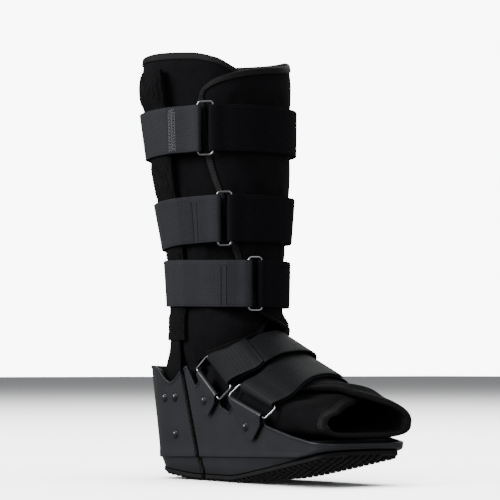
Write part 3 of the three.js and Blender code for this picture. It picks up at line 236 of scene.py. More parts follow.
class Curve:
    """A smooth line through a table's rows that doesn't overshoot them."""

    def __init__(self, x, y):
        self.x, self.y = np.array(x, float), np.array(y, float)
        slope = np.diff(self.y) / np.diff(self.x)
        before, after = slope[:-1], slope[1:]
        inner = np.zeros(len(before))
        same = before * after > 0
        inner[same] = 2 * before[same] * after[same] / (before[same] + after[same])
        self.tangent = np.concatenate([slope[:1], inner, slope[-1:]])

    def __call__(self, at):
        at = np.clip(at, self.x[0], self.x[-1])
        i = np.clip(np.searchsorted(self.x, at, side="right") - 1, 0, len(self.x) - 2)
        width = self.x[i + 1] - self.x[i]
        t = (at - self.x[i]) / width
        a, b = self.tangent[i] * width, self.tangent[i + 1] * width
        rise = self.y[i + 1] - self.y[i]
        return self.y[i] + t * (a + t * (3 * rise - 2 * a - b + t * (a + b - 2 * rise)))


def curve_of(rows):
    return Curve(*zip(*rows))


def ease(x, low, high):
    t = np.clip((np.asarray(x, float) - low) / (high - low), 0, 1)
    return t * t * (3 - 2 * t)


def lerp(a, b, t):
    return a + (b - a) * t


def crowded(count, near, more):
    """Even steps from 0 to 1, with some more of them near both ends."""
    ends = np.linspace(0, near, more), np.linspace(1 - near, 1, more)
    return np.unique(np.concatenate([np.linspace(0, 1, count), *ends]))


def xyz(x, y, z):
    return np.stack(np.broadcast_arrays(x, y, z), axis=-1).astype(float)


def unit(v):
    v = np.asarray(v, float)
    return v / np.maximum(np.linalg.norm(v, axis=-1, keepdims=True), 1e-9)


leg = {column: Curve(LEG_SECTIONS["up"], LEG_SECTIONS[column]) for column in ("wide", "front", "back")}
foot = {
    column: Curve(FOOT_SECTIONS["along"], FOOT_SECTIONS[column])
    for column in ("wide", "top", "skew", "round")
}
flap_turn = curve_of(FLAP_EDGE)
leg_top, leg_bottom = curve_of(LEG_TOP), curve_of(LEG_BOTTOM)
foot_front, foot_rear = curve_of(FOOT_FRONT), curve_of(FOOT_REAR)
shell_plan, upright_middle = curve_of(SHELL_PLAN), curve_of(UPRIGHT_MIDDLE)


def leg_section(z):
    """The leg's half width, half depth and middle at a height."""
    up = np.asarray(z, float) / LINER_HEIGHT
    front, back = CALF_DEPTH * leg["front"](up), CALF_DEPTH * leg["back"](up)
    return CALF_HALF_WIDTH * leg["wide"](up), (back - front) / 2, (front + back) / 2


def leg_point(turn, z, lift=0):
    """A point round the leg, its turn measured from the shin and positive inwards."""
    wide, deep, middle = leg_section(z)
    a = np.radians(turn)
    n = LEG_ROUNDNESS
    r = (np.abs(np.sin(a) / wide) ** n + np.abs(np.cos(a) / deep) ** n) ** (-1 / n) + lift
    return xyz(r * np.sin(a), middle - r * np.cos(a), z)


FLAP_SINK = FLAP_WALL + BINDING_WALL + BINDING_GAP + 1.8
LEG_START = 60
WRAP_LENGTH = 460


def padding(from_edge):
    """How full the padding is at a distance from a sewn edge."""
    return 1 - 0.34 * np.exp(-((from_edge / 7) ** 2))


def leg_lift(turn, z, from_edge, swell):
    """How far the cloth swells between the straps, and its small folds beside them."""
    bulge = np.zeros(np.broadcast(turn, z).shape)
    for strap in LEG_STRAPS.values():
        past_ring = (turn + 260) % 360 - 260 - strap["turn"]
        away = 0.5 - 0.5 * np.cos(np.radians(np.clip(past_ring, -150, 0) * 1.2))
        beside = np.abs(z - LINER_HEIGHT * (strap["up"] - strap["drop"] * away)) - STRAP_WIDTH / 2
        fold = np.sin(np.radians(turn) * 17 + z * 0.11) + 0.7 * np.sin(np.radians(turn) * 29 - z * 0.07 + 1.3)
        bulge += 0.32 * fold * np.exp(-((beside - 5) / 7) ** 2)
        bulge -= swell * 0.75 * np.exp(-(np.maximum(beside, 0) / 9) ** 2)
    slow = np.sin(np.radians(turn) * 3 + z * 0.021) * np.sin(z * 0.043 + np.radians(turn) * 1.7)
    return (swell + 0.5 * slow + bulge) * ease(from_edge, 6, 24)


def leg_wrap(s, v, swell=1.6):
    """The padded wrap round the leg at a share round it and a share up it: its outer and inner points."""
    s, v = np.broadcast_arrays(np.asarray(s, float), np.asarray(v, float))
    end_at = lambda up: flap_turn(up) - 360
    top_turn, bottom_turn = lerp(LEG_START, end_at(1), s), lerp(LEG_START, end_at(0), s)
    top, bottom = LINER_HEIGHT * leg_top(top_turn), LINER_HEIGHT * leg_bottom(bottom_turn)
    z = lerp(bottom, top, v)
    end = end_at(z / LINER_HEIGHT)
    turn = lerp(LEG_START, end, s)
    edge = end + 360
    under = ease(turn, edge - 52, edge - 14)
    over = ease(-turn, 360 - LEG_START - 62, 360 - LEG_START - 20)
    thick = lerp(LINER_WALL, FLAP_WALL, np.maximum(under, over))
    flare = FLAP_FLARE * ease(-turn, 285, 325) * (1 - ease(z / LINER_HEIGHT, 0.35, 0.395))
    lift = flare - FLAP_SINK * under
    round_leg = np.minimum(s, 1 - s) * WRAP_LENGTH
    from_edge = np.minimum(round_leg, np.minimum(v, 1 - v) * (top - bottom))
    fullness = padding(from_edge)
    swollen = leg_lift(turn, z, from_edge, swell) * (1 - under)
    outer = leg_point(turn, z, lift - thick * (1 - fullness) / 2 + swollen)
    inner = leg_point(turn, z, lift - thick * (1 + fullness) / 2)
    return outer, inner


def foot_plate(y):
    return FLOOR_AT_HEEL + FLOOR_RISE * np.clip((HEEL_REACH - y) / BOOT_LENGTH, 0, 1)


def foot_bottom(y):
    return foot_plate(y) + INSOLE_THICKNESS + BINDING_WALL + BINDING_GAP + 3 * GAP


def foot_point(turn, y, lift=0):
    """A point round the foot, its turn measured from the top and positive inwards."""
    along = y / BOOT_LENGTH
    a = np.radians(turn)
    sin, cos = np.sin(a), np.cos(a)
    wide, top = FOOT_HALF_WIDTH * foot["wide"](along), INSTEP_HEIGHT * foot["top"](along)
    skew = FOOT_HALF_WIDTH * foot["skew"](along)
    bottom = foot_bottom(y)
    waist = bottom + lerp(0.16, 0.09, ease(-along, 0.42, 0.53)) * INSTEP_HEIGHT
    above = cos > 0
    over = np.where(above, top - waist, waist - bottom)
    n = np.where(above, foot["round"](along), SOLE_ROUNDNESS)
    size = (np.abs(sin) ** n + np.abs(cos) ** n) ** (-1 / n)
    x = (wide + lift) * size * sin + skew * np.maximum(0, size * cos)
    return xyz(x, y, waist + (over + lift) * size * cos)


FOOT_START, FOOT_END = 25, -402


def foot_wrap(s, t, swell=1.2):
    s, t = np.broadcast_arrays(np.asarray(s, float), np.asarray(t, float))
    turn = lerp(FOOT_START, FOOT_END, s)
    front, rear = BOOT_LENGTH * foot_front(turn), BOOT_LENGTH * foot_rear(turn)
    under = ease(turn, FOOT_END + 326, FOOT_END + 358)
    over = ease(-turn, 360 - FOOT_START - 50, 360 - FOOT_START - 8)
    side = lerp(LINER_WALL, FLAP_WALL, np.maximum(under, over))
    thick = lerp(side, FLOOR_WALL, ease(-np.cos(np.radians(turn)), 0.3, 0.75))
    y = lerp(front, rear, t)
    from_edge = np.minimum(np.minimum(s, 1 - s) * 420, np.minimum(t, 1 - t) * (rear - front))
    fullness = padding(from_edge)
    fold = np.sin(np.radians(turn) * 11 + y * 0.13) * np.sin(y * 0.09 + 0.6)
    low = ease(np.cos(np.radians(turn)), -0.35, 0.1)
    swollen = (swell + 0.45 * fold) * ease(from_edge, 6, 22) * low * (1 - under)
    sink = FLAP_SINK * under
    outer = foot_point(turn, y, -sink - thick * (1 - fullness) / 2 + swollen)
    inner = foot_point(turn, y, -sink - thick * (1 + fullness) / 2)
    return outer, inner


# Plan of the shell


def sole_bottom(y):
    y = np.asarray(y, float)
    rise = lambda past, slope: np.where(past <= 0, 0, slope * (np.hypot(past, ROCKER_BLEND) - ROCKER_BLEND))
    return rise(-ROCKER_START - y, ROCKER_SLOPE) + rise(y - HEEL_START, HEEL_SLOPE)


def ledge(y):
    return np.maximum(foot_plate(y) - 11, sole_bottom(y) + SOLE_THICKNESS + 3)


def lean(z):
    return SHELL_FLARE * np.clip((z - FLOOR_AT_HEEL) / (SHELL_HEIGHT - FLOOR_AT_HEEL), 0, 1.05)


def shell_wide(y):
    return SHELL_HALF_WIDTH * shell_plan(y / BOOT_LENGTH)


def shell_side(y, z):
    past = np.maximum(0, y - HEEL_REACH + HEEL_ROUND) / (HEEL_ROUND + lean(z))
    share = np.maximum(0, 1 - past**HEEL_ROUNDNESS) ** (1 / HEEL_ROUNDNESS)
    return (shell_wide(np.minimum(y, HEEL_REACH - HEEL_ROUND)) + lean(z)) * share


def shell_edge(y):
    """The height of the side's top edge, with its corners a little rounded."""
    x, z = np.array(SHELL_EDGE).T
    near = [np.interp(y + d, x * BOOT_LENGTH, z * SHELL_HEIGHT) for d in (-0.8, -0.4, 0, 0.4, 0.8)]
    return sum(near) / len(near)


def half_plan(z, out, groove=GROOVE_DEPTH):
    """One side of the shell's plan from the toe's middle to the heel's, at a height for each place."""
    mouth = HEEL_REACH - HEEL_ROUND
    straight = float(shell_wide(-TOE_REACH + TOE_ROUND)) - TOE_ROUND
    corner = np.radians(np.linspace(0, 90, 13))
    toe = np.linspace(0, 1, 12, endpoint=False)
    x = np.concatenate([toe * straight, straight + TOE_ROUND * np.sin(corner)])
    toe_y = -TOE_REACH + TOE_BOW * toe**2
    y = np.concatenate([toe_y, -TOE_REACH + TOE_BOW + TOE_ROUND * (1 - np.cos(corner))])
    nx = np.concatenate([0 * toe, np.sin(corner)])
    ny = np.concatenate([0 * toe - 1, -np.cos(corner)])
    breaks = np.array([row[0] for row in SHELL_EDGE]) * BOOT_LENGTH
    even, fine = np.arange(y[-1] + 1.5, mouth - 0.5, 1.6), np.arange(*GROOVE_SPAN, 0.6)
    stations = np.unique(np.concatenate([even, fine, breaks]).round(2))
    stations = stations[(stations > y[-1] + 0.4) & (stations < mouth - 0.4)]
    x = np.concatenate([x, shell_wide(stations)])
    y, nx = np.concatenate([y, stations]), np.concatenate([nx, 0 * stations + 1])
    ny = np.concatenate([ny, 0 * stations])
    angle = np.radians(np.linspace(0, 90, 30))
    n = len(x) + len(angle)
    z = np.broadcast_to(np.asarray(z, float), (n,))
    back = HEEL_BACK * np.clip((z - FLOOR_AT_HEEL) / (SHELL_HEIGHT - FLOOR_AT_HEEL), 0, 1.05)[len(x):]
    out = np.broadcast_to(np.asarray(out, float), (n,))
    centre = lerp(0.105, 0.19, np.clip(z[: len(x)] / SHELL_HEIGHT, 0, 1)) * BOOT_LENGTH
    dip = groove * (1 - ease(np.abs(y - centre), GROOVE_FLOOR, GROOVE_WALL_END))
    side_x = np.maximum(0, x - dip + nx * out[: len(x)])
    side_y = y + ny * out[: len(x)]
    heel_out = out[len(x):]
    heel_x = (shell_wide(mouth) + heel_out) * np.abs(np.cos(angle)) ** (2 / HEEL_ROUNDNESS)
    heel_y = mouth + (HEEL_ROUND + heel_out + back) * np.abs(np.sin(angle)) ** (2 / HEEL_ROUNDNESS)
    heel_x[-1] = 0
    side_x[0] = 0
    return np.concatenate([side_x, heel_x]), np.concatenate([side_y, heel_y])


PLAN_Y = half_plan(60, 0)[1]


def plan_row(z, out, scale=1.0, groove=GROOVE_DEPTH):
    """The whole plan as points, at one height or one for each of its places."""
    z = np.broadcast_to(np.asarray(z, float), PLAN_Y.shape)
    x, y = half_plan(z, out, groove)
    half = xyz(x * scale, y, z)
    other = half[-2:0:-1] * np.array([-1, 1, 1])
    return np.concatenate([half, other])


def heel_point(angle, out, back):
    a = np.radians(angle)
    mouth = HEEL_REACH - HEEL_ROUND
    x = (shell_wide(mouth) + out) * np.abs(np.cos(a)) ** (2 / HEEL_ROUNDNESS)
    y = mouth + (HEEL_ROUND + out + back) * np.abs(np.sin(a)) ** (2 / HEEL_ROUNDNESS)
    return np.where(angle == 90, 0, x), y


# Places of the uprights, straps and tabs


def side_point(side, back, z, lift):
    """A point on the leg's side, a distance back from the upright's middle line."""
    wide, deep, middle = leg_section(z)
    y = BOOT_LENGTH * upright_middle(np.asarray(z, float) / LINER_HEIGHT) + back
    share = np.clip(np.abs(y - middle) / deep, 0, 0.98)
    x = wide * (1 - share**LEG_ROUNDNESS) ** (1 / LEG_ROUNDNESS)
    turn = np.arctan2(x, middle - y)
    return xyz(side * (x + lift * np.sin(turn)), y - lift * np.cos(turn), z)


SLEEVE_LIFT = 1.5
SLEEVE_SPACE = 2.4 * GAP
SLEEVE_DEPTH = UPRIGHT_THICKNESS + 2 * SLEEVE_WALL + SLEEVE_SPACE


def upright_point(side, back, z, lift):
    z = np.asarray(z, float)
    on_leg = side_point(side, back, z, SLEEVE_LIFT + SLEEVE_WALL + SLEEVE_SPACE / 2 + lift)
    middle = BOOT_LENGTH * upright_middle(z / LINER_HEIGHT)
    wall_inside = shell_side(middle + UPRIGHT_WIDTH / 2 + 2, z) - SHELL_WALL
    in_shell = xyz(side * (wall_inside - 2.8 * GAP - UPRIGHT_THICKNESS + lift), middle + back, z)
    return lerp(in_shell, on_leg, ease(z, 0.9 * SHELL_HEIGHT, 1.2 * SHELL_HEIGHT)[..., None])


def hull_of(points):
    points = sorted(map(tuple, points))
    left = lambda a, b, c: (b[0] - a[0]) * (c[1] - a[1]) - (b[1] - a[1]) * (c[0] - a[0]) > 0

    def chain(rows):
        kept = []
        for p in rows:
            while len(kept) > 1 and not left(kept[-2], kept[-1], p):
                kept.pop()
            kept.append(p)
        return kept[:-1]

    return np.array(chain(points) + chain(points[::-1]))


def core_reach(z, turns, middle):
    """How far the padding, its edge tape and the sleeves reach from the leg's middle line."""
    tape = BINDING_WALL + BINDING_GAP + 2 * GAP
    round_leg = leg_point(np.linspace(0, 360, 49), z, tape)[:, :2]
    high = SLEEVE_LIFT + SLEEVE_DEPTH + 2 * GAP
    across = np.array([-1, -0.35, 0.35, 1]) * SLEEVE_WIDTH / 2
    corners = [side_point(side, across, z, high)[:, :2] for side in (-1, 1)]
    core = hull_of(np.concatenate([round_leg, *corners]))
    start, end = core - [0, middle], np.roll(core, -1, axis=0) - [0, middle]
    a = np.radians(turns)[:, None]
    dx, dy = np.sin(a), -np.cos(a)
    ex, ey = (end - start).T
    area = dx * ey - dy * ex
    area = np.where(np.abs(area) < 1e-9, np.nan, area)
    distance = (start[:, 0] * ey - start[:, 1] * ex) / area
    share = (start[:, 0] * dy - start[:, 1] * dx) / area
    crossed = (distance > 0) & (share > -1e-6) & (share < 1 + 1e-6)
    return np.nanmax(np.where(crossed, distance, np.nan), axis=1)


def leg_track(strap):
    """A leg strap's low and high edge, as a function of the turn and the lift above what it wraps."""
    height = LINER_HEIGHT * strap["up"]
    middle = float(leg_section(height)[2])
    grid = np.arange(-275.0, 116.0, 1.0)
    edges = np.array([-1, -0.5, 0, 0.5, 1])
    spread = (-4.5, -2, 0, 2, 4.5)
    reach = []
    for edge in edges:
        z = height + edge * STRAP_WIDTH / 2
        reach.append(np.max([core_reach(z, grid + by, middle) for by in spread], axis=0))
    low, high = reach[0], reach[-1]
    bulge = np.max([r - lerp(low, high, (e + 1) / 2) for e, r in zip(edges, reach)], axis=0)

    def track(turn, lift, wider=0.0):
        turn = np.asarray(turn, float)
        at = lambda values: np.interp(turn, grid, values)
        away = 0.5 - 0.5 * np.cos(np.radians(np.clip(turn - strap["turn"], -150, 0) * 1.2))
        dropped = LINER_HEIGHT * strap["drop"] * away
        slope = (at(high) - at(low)) / STRAP_WIDTH
        a = np.radians(turn)
        pair = []
        for edge in (-1, 1):
            up = edge * (STRAP_WIDTH / 2 + wider)
            r = (at(low) + at(high)) / 2 + slope * (up - dropped) + at(bulge) + lift
            pair.append(xyz(r * np.sin(a), middle - r * np.cos(a), height + up - dropped))
        return pair

    return track


def folded(track, bar_turn, direction, start, tail, thickness):
    """Middle lines of a strap's two edges: up to a ring's bar, round it and back over itself."""
    bar_lift = thickness + BAR_ROOM + RING_WIRE
    step = [track(bar_turn + d, bar_lift)[0] for d in (-0.5, 0.5)]
    degrees = 1 / np.linalg.norm(step[1] - step[0])
    bend = RING_WIRE + BAR_ROOM + thickness / 2
    turns = [np.linspace(start, bar_turn, max(8, int(abs(start - bar_turn) / 2.5)))]
    lifts = [0 * turns[0] + thickness / 2]
    a = np.linspace(0, np.pi, 13)[1:-1]
    turns.append(bar_turn + direction * bend * np.sin(a) * degrees)
    lifts.append(bar_lift - bend * np.cos(a))
    last = np.linspace(0, 1, max(10, int(abs(tail - bar_turn) / 2.5)))
    rounding = 1 - np.array([0.0, 1, 2, 3.5, 5, 6.5]) * degrees / abs(tail - bar_turn)
    last = np.unique(np.concatenate([last, rounding]))
    turns.append(lerp(bar_turn, tail, last))
    travelled = np.abs(turns[-1] - bar_turn) / degrees
    lifts.append(lerp(bar_lift + bend, 1.5 * thickness + GAP, ease(travelled, 0, 14)))
    return track(np.concatenate(turns), np.concatenate(lifts))


def tab_frame(side, strap):
    ends = []
    for along, up in strap["fold"]:
        y, z = along * BOOT_LENGTH, up * SHELL_HEIGHT
        ends.append(np.array([side * shell_side(y, z), y, z]))
    along = ends[1] - ends[0]
    length = np.linalg.norm(along)
    along = along / length
    middle = (ends[0] + ends[1]) / 2
    low = middle + unit(np.array([0, -along[2], along[1]])) * TAB_DROP
    low[0] = side * shell_side(low[1], low[2])
    down = low - middle
    down = unit(down - along * down.dot(along))
    out = np.cross(along, down)
    out = out if out[0] * side > 0 else -out
    return {"middle": middle, "along": along, "down": down, "out": out, "length": length}


def on_tab(tab, u, v, w):
    u, v, w = np.broadcast_arrays(np.asarray(u, float), v, w)
    place = u[..., None] * tab["along"] + v[..., None] * tab["down"] + (w[..., None] + 2.2 * GAP) * tab["out"]
    return tab["middle"] + place


BAR_OUT = TAB_PLATE + GAP + RING_WIRE
TAB_FRONT = 2 * TAB_PLATE + GAP


def foot_track(strap):
    base = BINDING_WALL + BINDING_GAP + 3.2 * GAP + strap["rise"]
    column = {name: Curve(strap["at"], strap[name]) for name in ("rear_turn", "rear", "front_turn", "front")}

    def track(at, lift, wider=0.0):
        at = np.asarray(at, float)
        over = strap["overlap"] * ease(at, 0.22, 0.4) * (1 - 0.5 * ease(at, 1, 1.2))
        before = np.minimum(0, at) * 70
        front_y, rear_y = BOOT_LENGTH * column["front"](at), BOOT_LENGTH * column["rear"](at)
        front = foot_point(column["front_turn"](at) + before, front_y, base + over + lift)
        rear = foot_point(column["rear_turn"](at) + before, rear_y, base + lift)
        more = unit(front - rear) * wider
        return front + more, rear - more

    return track


def foot_strap_lines(strap, wing):
    """Middle lines of a foot strap's edges: from the inner wing over the foot, round the ring and back."""
    track = foot_track(strap)
    thick, half = FOOT_STRAP_THICKNESS, FOOT_STRAP_THICKNESS / 2
    bar, bend = thick + BAR_ROOM + RING_WIRE, RING_WIRE + BAR_ROOM + half
    scale = np.linalg.norm(track(-0.02, bar)[0] - track(0, bar)[0]) / 0.02
    down = np.array([20, 14, 8, 2, -3.0])
    on_wing = [on_tab(wing, t * wing["length"], down, half + 0.5) for t in (0.46, -0.46)]
    at = np.linspace(1.2, 0, 60)
    a = np.linspace(0, np.pi, 13)[1:-1]
    back = strap["tail"] * np.unique(np.concatenate([np.linspace(0, 1, 40), [0.98, 0.99, 0.995]]))
    lift = lerp(bar + bend, 1.5 * thick + 1.2 * GAP, ease(back, 0, 0.2))
    parts = [track(at, half), track(-bend * np.sin(a) / scale, bar - bend * np.cos(a)), track(back, lift)]
    return [np.concatenate([on_wing[k], *[part[k] for part in parts]]) for k in (0, 1)]


# Meshes


def grid(rows, columns, wrap=False):
    r, c = np.meshgrid(np.arange(rows - 1), np.arange(columns if wrap else columns - 1), indexing="ij")
    near, far = r * columns + c, r * columns + (c + 1) % columns
    return np.stack([near, far, far + columns, near + columns], axis=-1).reshape(-1, 4)


def build(name, points, quads, uv=None, caps=(), sharp=35):
    """A plain mesh piece from points in millimetres, welded, smooth and facing out. The UV is in metres."""
    points = np.asarray(points, float).reshape(-1, 3)
    _, first, same = np.unique(np.round(points, 3), axis=0, return_index=True, return_inverse=True)
    same = same.reshape(-1).tolist()
    faces = []
    for face in [*np.asarray(quads).tolist(), *[list(cap) for cap in caps]]:
        corners = [c for k, c in enumerate(face) if same[c] != same[face[k - 1]]]
        if len(corners) > 2:
            faces.append(corners)
    mesh = bpy.data.meshes.new(name)
    mesh.from_pydata((points[first] * MM).tolist(), [], [[same[c] for c in face] for face in faces])
    if uv is not None:
        layer = mesh.uv_layers.new(name="UVMap")
        layer.data.foreach_set("uv", np.asarray(uv, float).reshape(-1, 2)[np.concatenate(faces)].ravel())
    shape = bmesh.new()
    shape.from_mesh(mesh)
    bmesh.ops.recalc_face_normals(shape, faces=shape.faces[:])
    shape.to_mesh(mesh)
    shape.free()
    mesh.shade_smooth()
    mesh.set_sharp_from_angle(angle=math.radians(sharp))
    obj = bpy.data.objects.new(name, mesh)
    bpy.context.scene.collection.objects.link(obj)
    return obj


def lengths(points):
    steps = np.linalg.norm(np.diff(points, axis=0), axis=1)
    return np.concatenate([[0], np.cumsum(steps)])


def wall(name, outer, inner, uv):
    """A padded wall between two sheets of points, each rows by columns."""
    rows, columns = outer.shape[:2]
    sheet = grid(rows, columns)
    count = rows * columns
    index = np.arange(count).reshape(rows, columns)
    edge = np.concatenate([index[0], index[1:, -1], index[-1, -2::-1], index[-2:0:-1, 0]])
    after = np.roll(edge, -1)
    rim = np.stack([edge, after, after + count, edge + count], axis=1)
    points = np.concatenate([outer.reshape(-1, 3), inner.reshape(-1, 3)])
    uv = uv.reshape(-1, 2)
    return build(name, points, np.concatenate([sheet, sheet[:, ::-1] + count, rim]), np.concatenate([uv, uv]))


def ribbon(name, low, high, thickness, round_end=0.0, crown=0.0, across=9):
    """A band of even thickness through the middle lines of its two edges, with rolled edges."""
    middle = (low + high) / 2
    along = lengths(middle)
    left = along[-1] - along
    inset = round_end - np.sqrt(np.maximum(0, round_end**2 - np.maximum(0, round_end - left) ** 2))
    sideways = unit(high - low)
    low, high = low + sideways * inset[:, None], high - sideways * inset[:, None]
    width = np.linalg.norm(high - low, axis=1)
    normal = unit(np.cross(unit(np.gradient(middle, axis=0)), sideways))
    half = thickness / 2
    u = np.linspace(0, 1, across)
    roll = np.radians([60, 30, 0, -30, -60])
    flat = (width - 2 * half)[:, None]
    over = (half + u * flat, np.broadcast_to(half + crown * (1 - (2 * u - 1) ** 2), (len(low), across)))
    high_end = (
        width[:, None] - half + half * np.cos(roll),
        np.broadcast_to(half * np.sin(roll), (len(low), 5)),
    )
    under = (half + (1 - u) * flat, np.broadcast_to(-half, (len(low), across)))
    low_end = (half - half * np.cos(roll) + 0 * flat, np.broadcast_to(-half * np.sin(roll), (len(low), 5)))
    x, n = (np.concatenate(part, axis=1) for part in zip(over, high_end, under, low_end))
    points = low[:, None] + x[..., None] * sideways[:, None] + n[..., None] * normal[:, None]
    uv = np.stack(np.broadcast_arrays(x + inset[:, None], along[:, None]), axis=-1) * MM
    rows, columns = x.shape
    caps = [range(columns), range((rows - 1) * columns, rows * columns)]
    obj = build(name, points, grid(rows, columns, wrap=True), uv, caps)
    flat_size = (float(np.median(width)) * MM, float(along[-1]) * MM)
    return obj, flat_size, normal


def tape(name, at, edge, inside, near, far):
    """Edge tape folded round a padded wall: its object, and the line of its seam."""
    (edge_out, edge_in), (in_out, in_in) = at(*edge), at(*inside)
    edge_normal, in_normal = unit(edge_out - edge_in), unit(in_out - in_in)
    out = unit(edge_out + edge_in - in_out - in_in)
    middle = (edge_out + edge_in) / 2
    half = np.linalg.norm(edge_out - edge_in, axis=1)[:, None] / 2
    path, normals = [], []
    for share in (0.38, 0.55, 0.7, 0.85):
        path.append(lerp(in_out, edge_out, share))
        normals.append(unit(lerp(in_normal, edge_normal, share)))
    for a in np.radians((72, 48, 24, 0, -24, -48, -72)):
        path.append(middle + edge_normal * half * np.sin(a) + out * 0.4 * half * np.cos(a))
        normals.append(unit(edge_normal * np.sin(a) + out * np.cos(a)))
    for share in (0.85, 0.6, 0.38):
        path.append(lerp(in_in, edge_in, share))
        normals.append(-unit(lerp(in_normal, edge_normal, share)))
    far = np.broadcast_to(np.asarray(far, float), half[:, 0].shape)[:, None]
    outside = [p + n * far for p, n in zip(path, normals)]
    inner = [p + n * near for p, n in zip(path, normals)][::-1]
    points = np.stack(outside + inner, axis=1)
    rows, columns = points.shape[:2]
    across = np.cumsum(np.concatenate([[0], np.linalg.norm(np.diff(points[rows // 2], axis=0), axis=1)]))
    uv = np.stack(np.broadcast_arrays(across[None, :], lengths(middle)[:, None]), axis=-1) * MM
    caps = [range(columns), range((rows - 1) * columns, rows * columns)]
    seams = [lerp(in_out, edge_out, share) + in_normal * (far + 0.05) for share in (0.5, 0.72)]
    return build(name, points, grid(rows, columns, wrap=True), uv, caps), seams


def moulding(name, rows, sharp=32):
    """A body through rows of the plan, whose first and last row lie on the middle line."""
    points = np.stack(rows)
    count, columns = points.shape[:2]
    return build(name, points, grid(count, columns, wrap=True), sharp=sharp)


def lathe(name, profile, segments=20):
    """A shape turned about its own upright axis, from the axis out and back to it."""
    a = np.linspace(0, 2 * np.pi, segments, endpoint=False)
    radius, height = np.array(profile, float).T[:, :, None]
    points = xyz(radius * np.cos(a), radius * np.sin(a), height)
    return build(name, points, grid(len(profile), segments, wrap=True))


def polylines(name, lines, loop=False):
    """Open or closed lines as the loose edges of one mesh."""
    points, edges = [], []
    for line in lines:
        start = len(points)
        points += (np.asarray(line) * MM).tolist()
        edges += [(start + i, start + i + 1) for i in range(len(line) - 1)]
        if loop:
            edges.append((start + len(line) - 1, start))
    mesh = bpy.data.meshes.new(name)
    mesh.from_pydata(points, edges, [])
    obj = bpy.data.objects.new(name, mesh)
    bpy.context.scene.collection.objects.link(obj)
    return obj


def spots(name, places, aims):
    """Loose points, each with the direction in which its shape stands."""
    mesh = bpy.data.meshes.new(name)
    mesh.from_pydata((np.asarray(places) * MM).tolist(), [], [])
    mesh.attributes.new("aim", "FLOAT_VECTOR", "POINT").data.foreach_set("vector", unit(aims).ravel())
    obj = bpy.data.objects.new(name, mesh)
    bpy.context.scene.collection.objects.link(obj)
    return obj


# Node trees for what repeats or follows a line


class Tree:
    """A geometry node tree with named inputs, that ends in real mesh and a material."""

    def __init__(self, name, inputs):
        self.group = bpy.data.node_groups.new(name, "GeometryNodeTree")
        face = self.group.interface
        face.new_socket("Geometry", in_out="INPUT", socket_type="NodeSocketGeometry")
        for label, kind, value in inputs:
            socket = face.new_socket(label, in_out="INPUT", socket_type=f"NodeSocket{kind}")
            if value is not None:
                socket.default_value = value
        face.new_socket("Geometry", in_out="OUTPUT", socket_type="NodeSocketGeometry")
        self.given = self.group.nodes.new("NodeGroupInput").outputs

    def add(self, kind, settings=None, **inputs):
        node = self.group.nodes.new(kind)
        for key, value in (settings or {}).items():
            setattr(node, key, value)
        for key, value in inputs.items():
            socket = node.inputs[key.replace("_", " ")]
            if isinstance(value, bpy.types.NodeSocket):
                self.group.links.new(value, socket)
            else:
                socket.default_value = value
        return node

    def end(self, geometry):
        real = self.add("GeometryNodeRealizeInstances", Geometry=geometry)
        smooth = self.add("GeometryNodeSetShadeSmooth", Geometry=real.outputs[0])
        material = self.given["Material"]
        done = self.add("GeometryNodeSetMaterial", Geometry=smooth.outputs[0], Material=material)
        out = self.group.nodes.new("NodeGroupOutput")
        self.group.links.new(done.outputs[0], out.inputs[0])
        return self.group


def stitch_tree():
    tree = Tree("Stitches", [
        ("Pitch", "Float", 0.003), ("Length", "Float", 0.0022), ("Width", "Float", 0.0006),
        ("Material", "Material", None),
    ])
    pitch, length, width = (tree.given[name] for name in ("Pitch", "Length", "Width"))
    curve = tree.add("GeometryNodeMeshToCurve", Mesh=tree.given["Geometry"])
    spaced = tree.add("GeometryNodeResampleCurve", {"mode": "LENGTH"}, Curve=curve.outputs[0], Length=pitch)
    tangent = tree.add("GeometryNodeInputTangent")
    turned = tree.add("FunctionNodeAlignRotationToVector", {"axis": "X"}, Vector=tangent.outputs[0])
    size = tree.add("ShaderNodeCombineXYZ", X=length, Y=width, Z=width)
    bead = tree.add("GeometryNodeMeshIcoSphere", Radius=0.5, Subdivisions=2)
    placed = tree.add(
        "GeometryNodeInstanceOnPoints", Points=spaced.outputs[0], Instance=bead.outputs[0],
        Rotation=turned.outputs[0], Scale=size.outputs[0],
    )
    return tree.end(placed.outputs[0])


def standing_tree():
    tree = Tree("Standing shapes", [
        ("Shape", "Object", None), ("Scale", "Float", 1.0), ("Material", "Material", None),
    ])
    shape = tree.add("GeometryNodeObjectInfo", Object=tree.given["Shape"])
    aim = tree.add("GeometryNodeInputNamedAttribute", {"data_type": "FLOAT_VECTOR"}, Name="aim")
    turned = tree.add("FunctionNodeAlignRotationToVector", {"axis": "Z"}, Vector=aim.outputs[0])
    placed = tree.add(
        "GeometryNodeInstanceOnPoints", Points=tree.given["Geometry"], Instance=shape.outputs["Geometry"],
        Rotation=turned.outputs[0], Scale=tree.given["Scale"],
    )
    return tree.end(placed.outputs[0])


def wire_tree():
    tree = Tree("Wire rings", [
        ("Wire Radius", "Float", 0.0014), ("Corner Radius", "Float", 0.0034), ("Material", "Material", None),
    ])
    curve = tree.add("GeometryNodeMeshToCurve", Mesh=tree.given["Geometry"])
    bent = tree.add(
        "GeometryNodeFilletCurve", {"mode": "POLY"}, Curve=curve.outputs[0], Count=5,
        Radius=tree.given["Corner Radius"], Limit_Radius=True,
    )
    section = tree.add("GeometryNodeCurvePrimitiveCircle", Radius=tree.given["Wire Radius"], Resolution=14)
    wire = tree.add("GeometryNodeCurveToMesh", Curve=bent.outputs[0], Profile_Curve=section.outputs[0])
    return tree.end(wire.outputs[0])


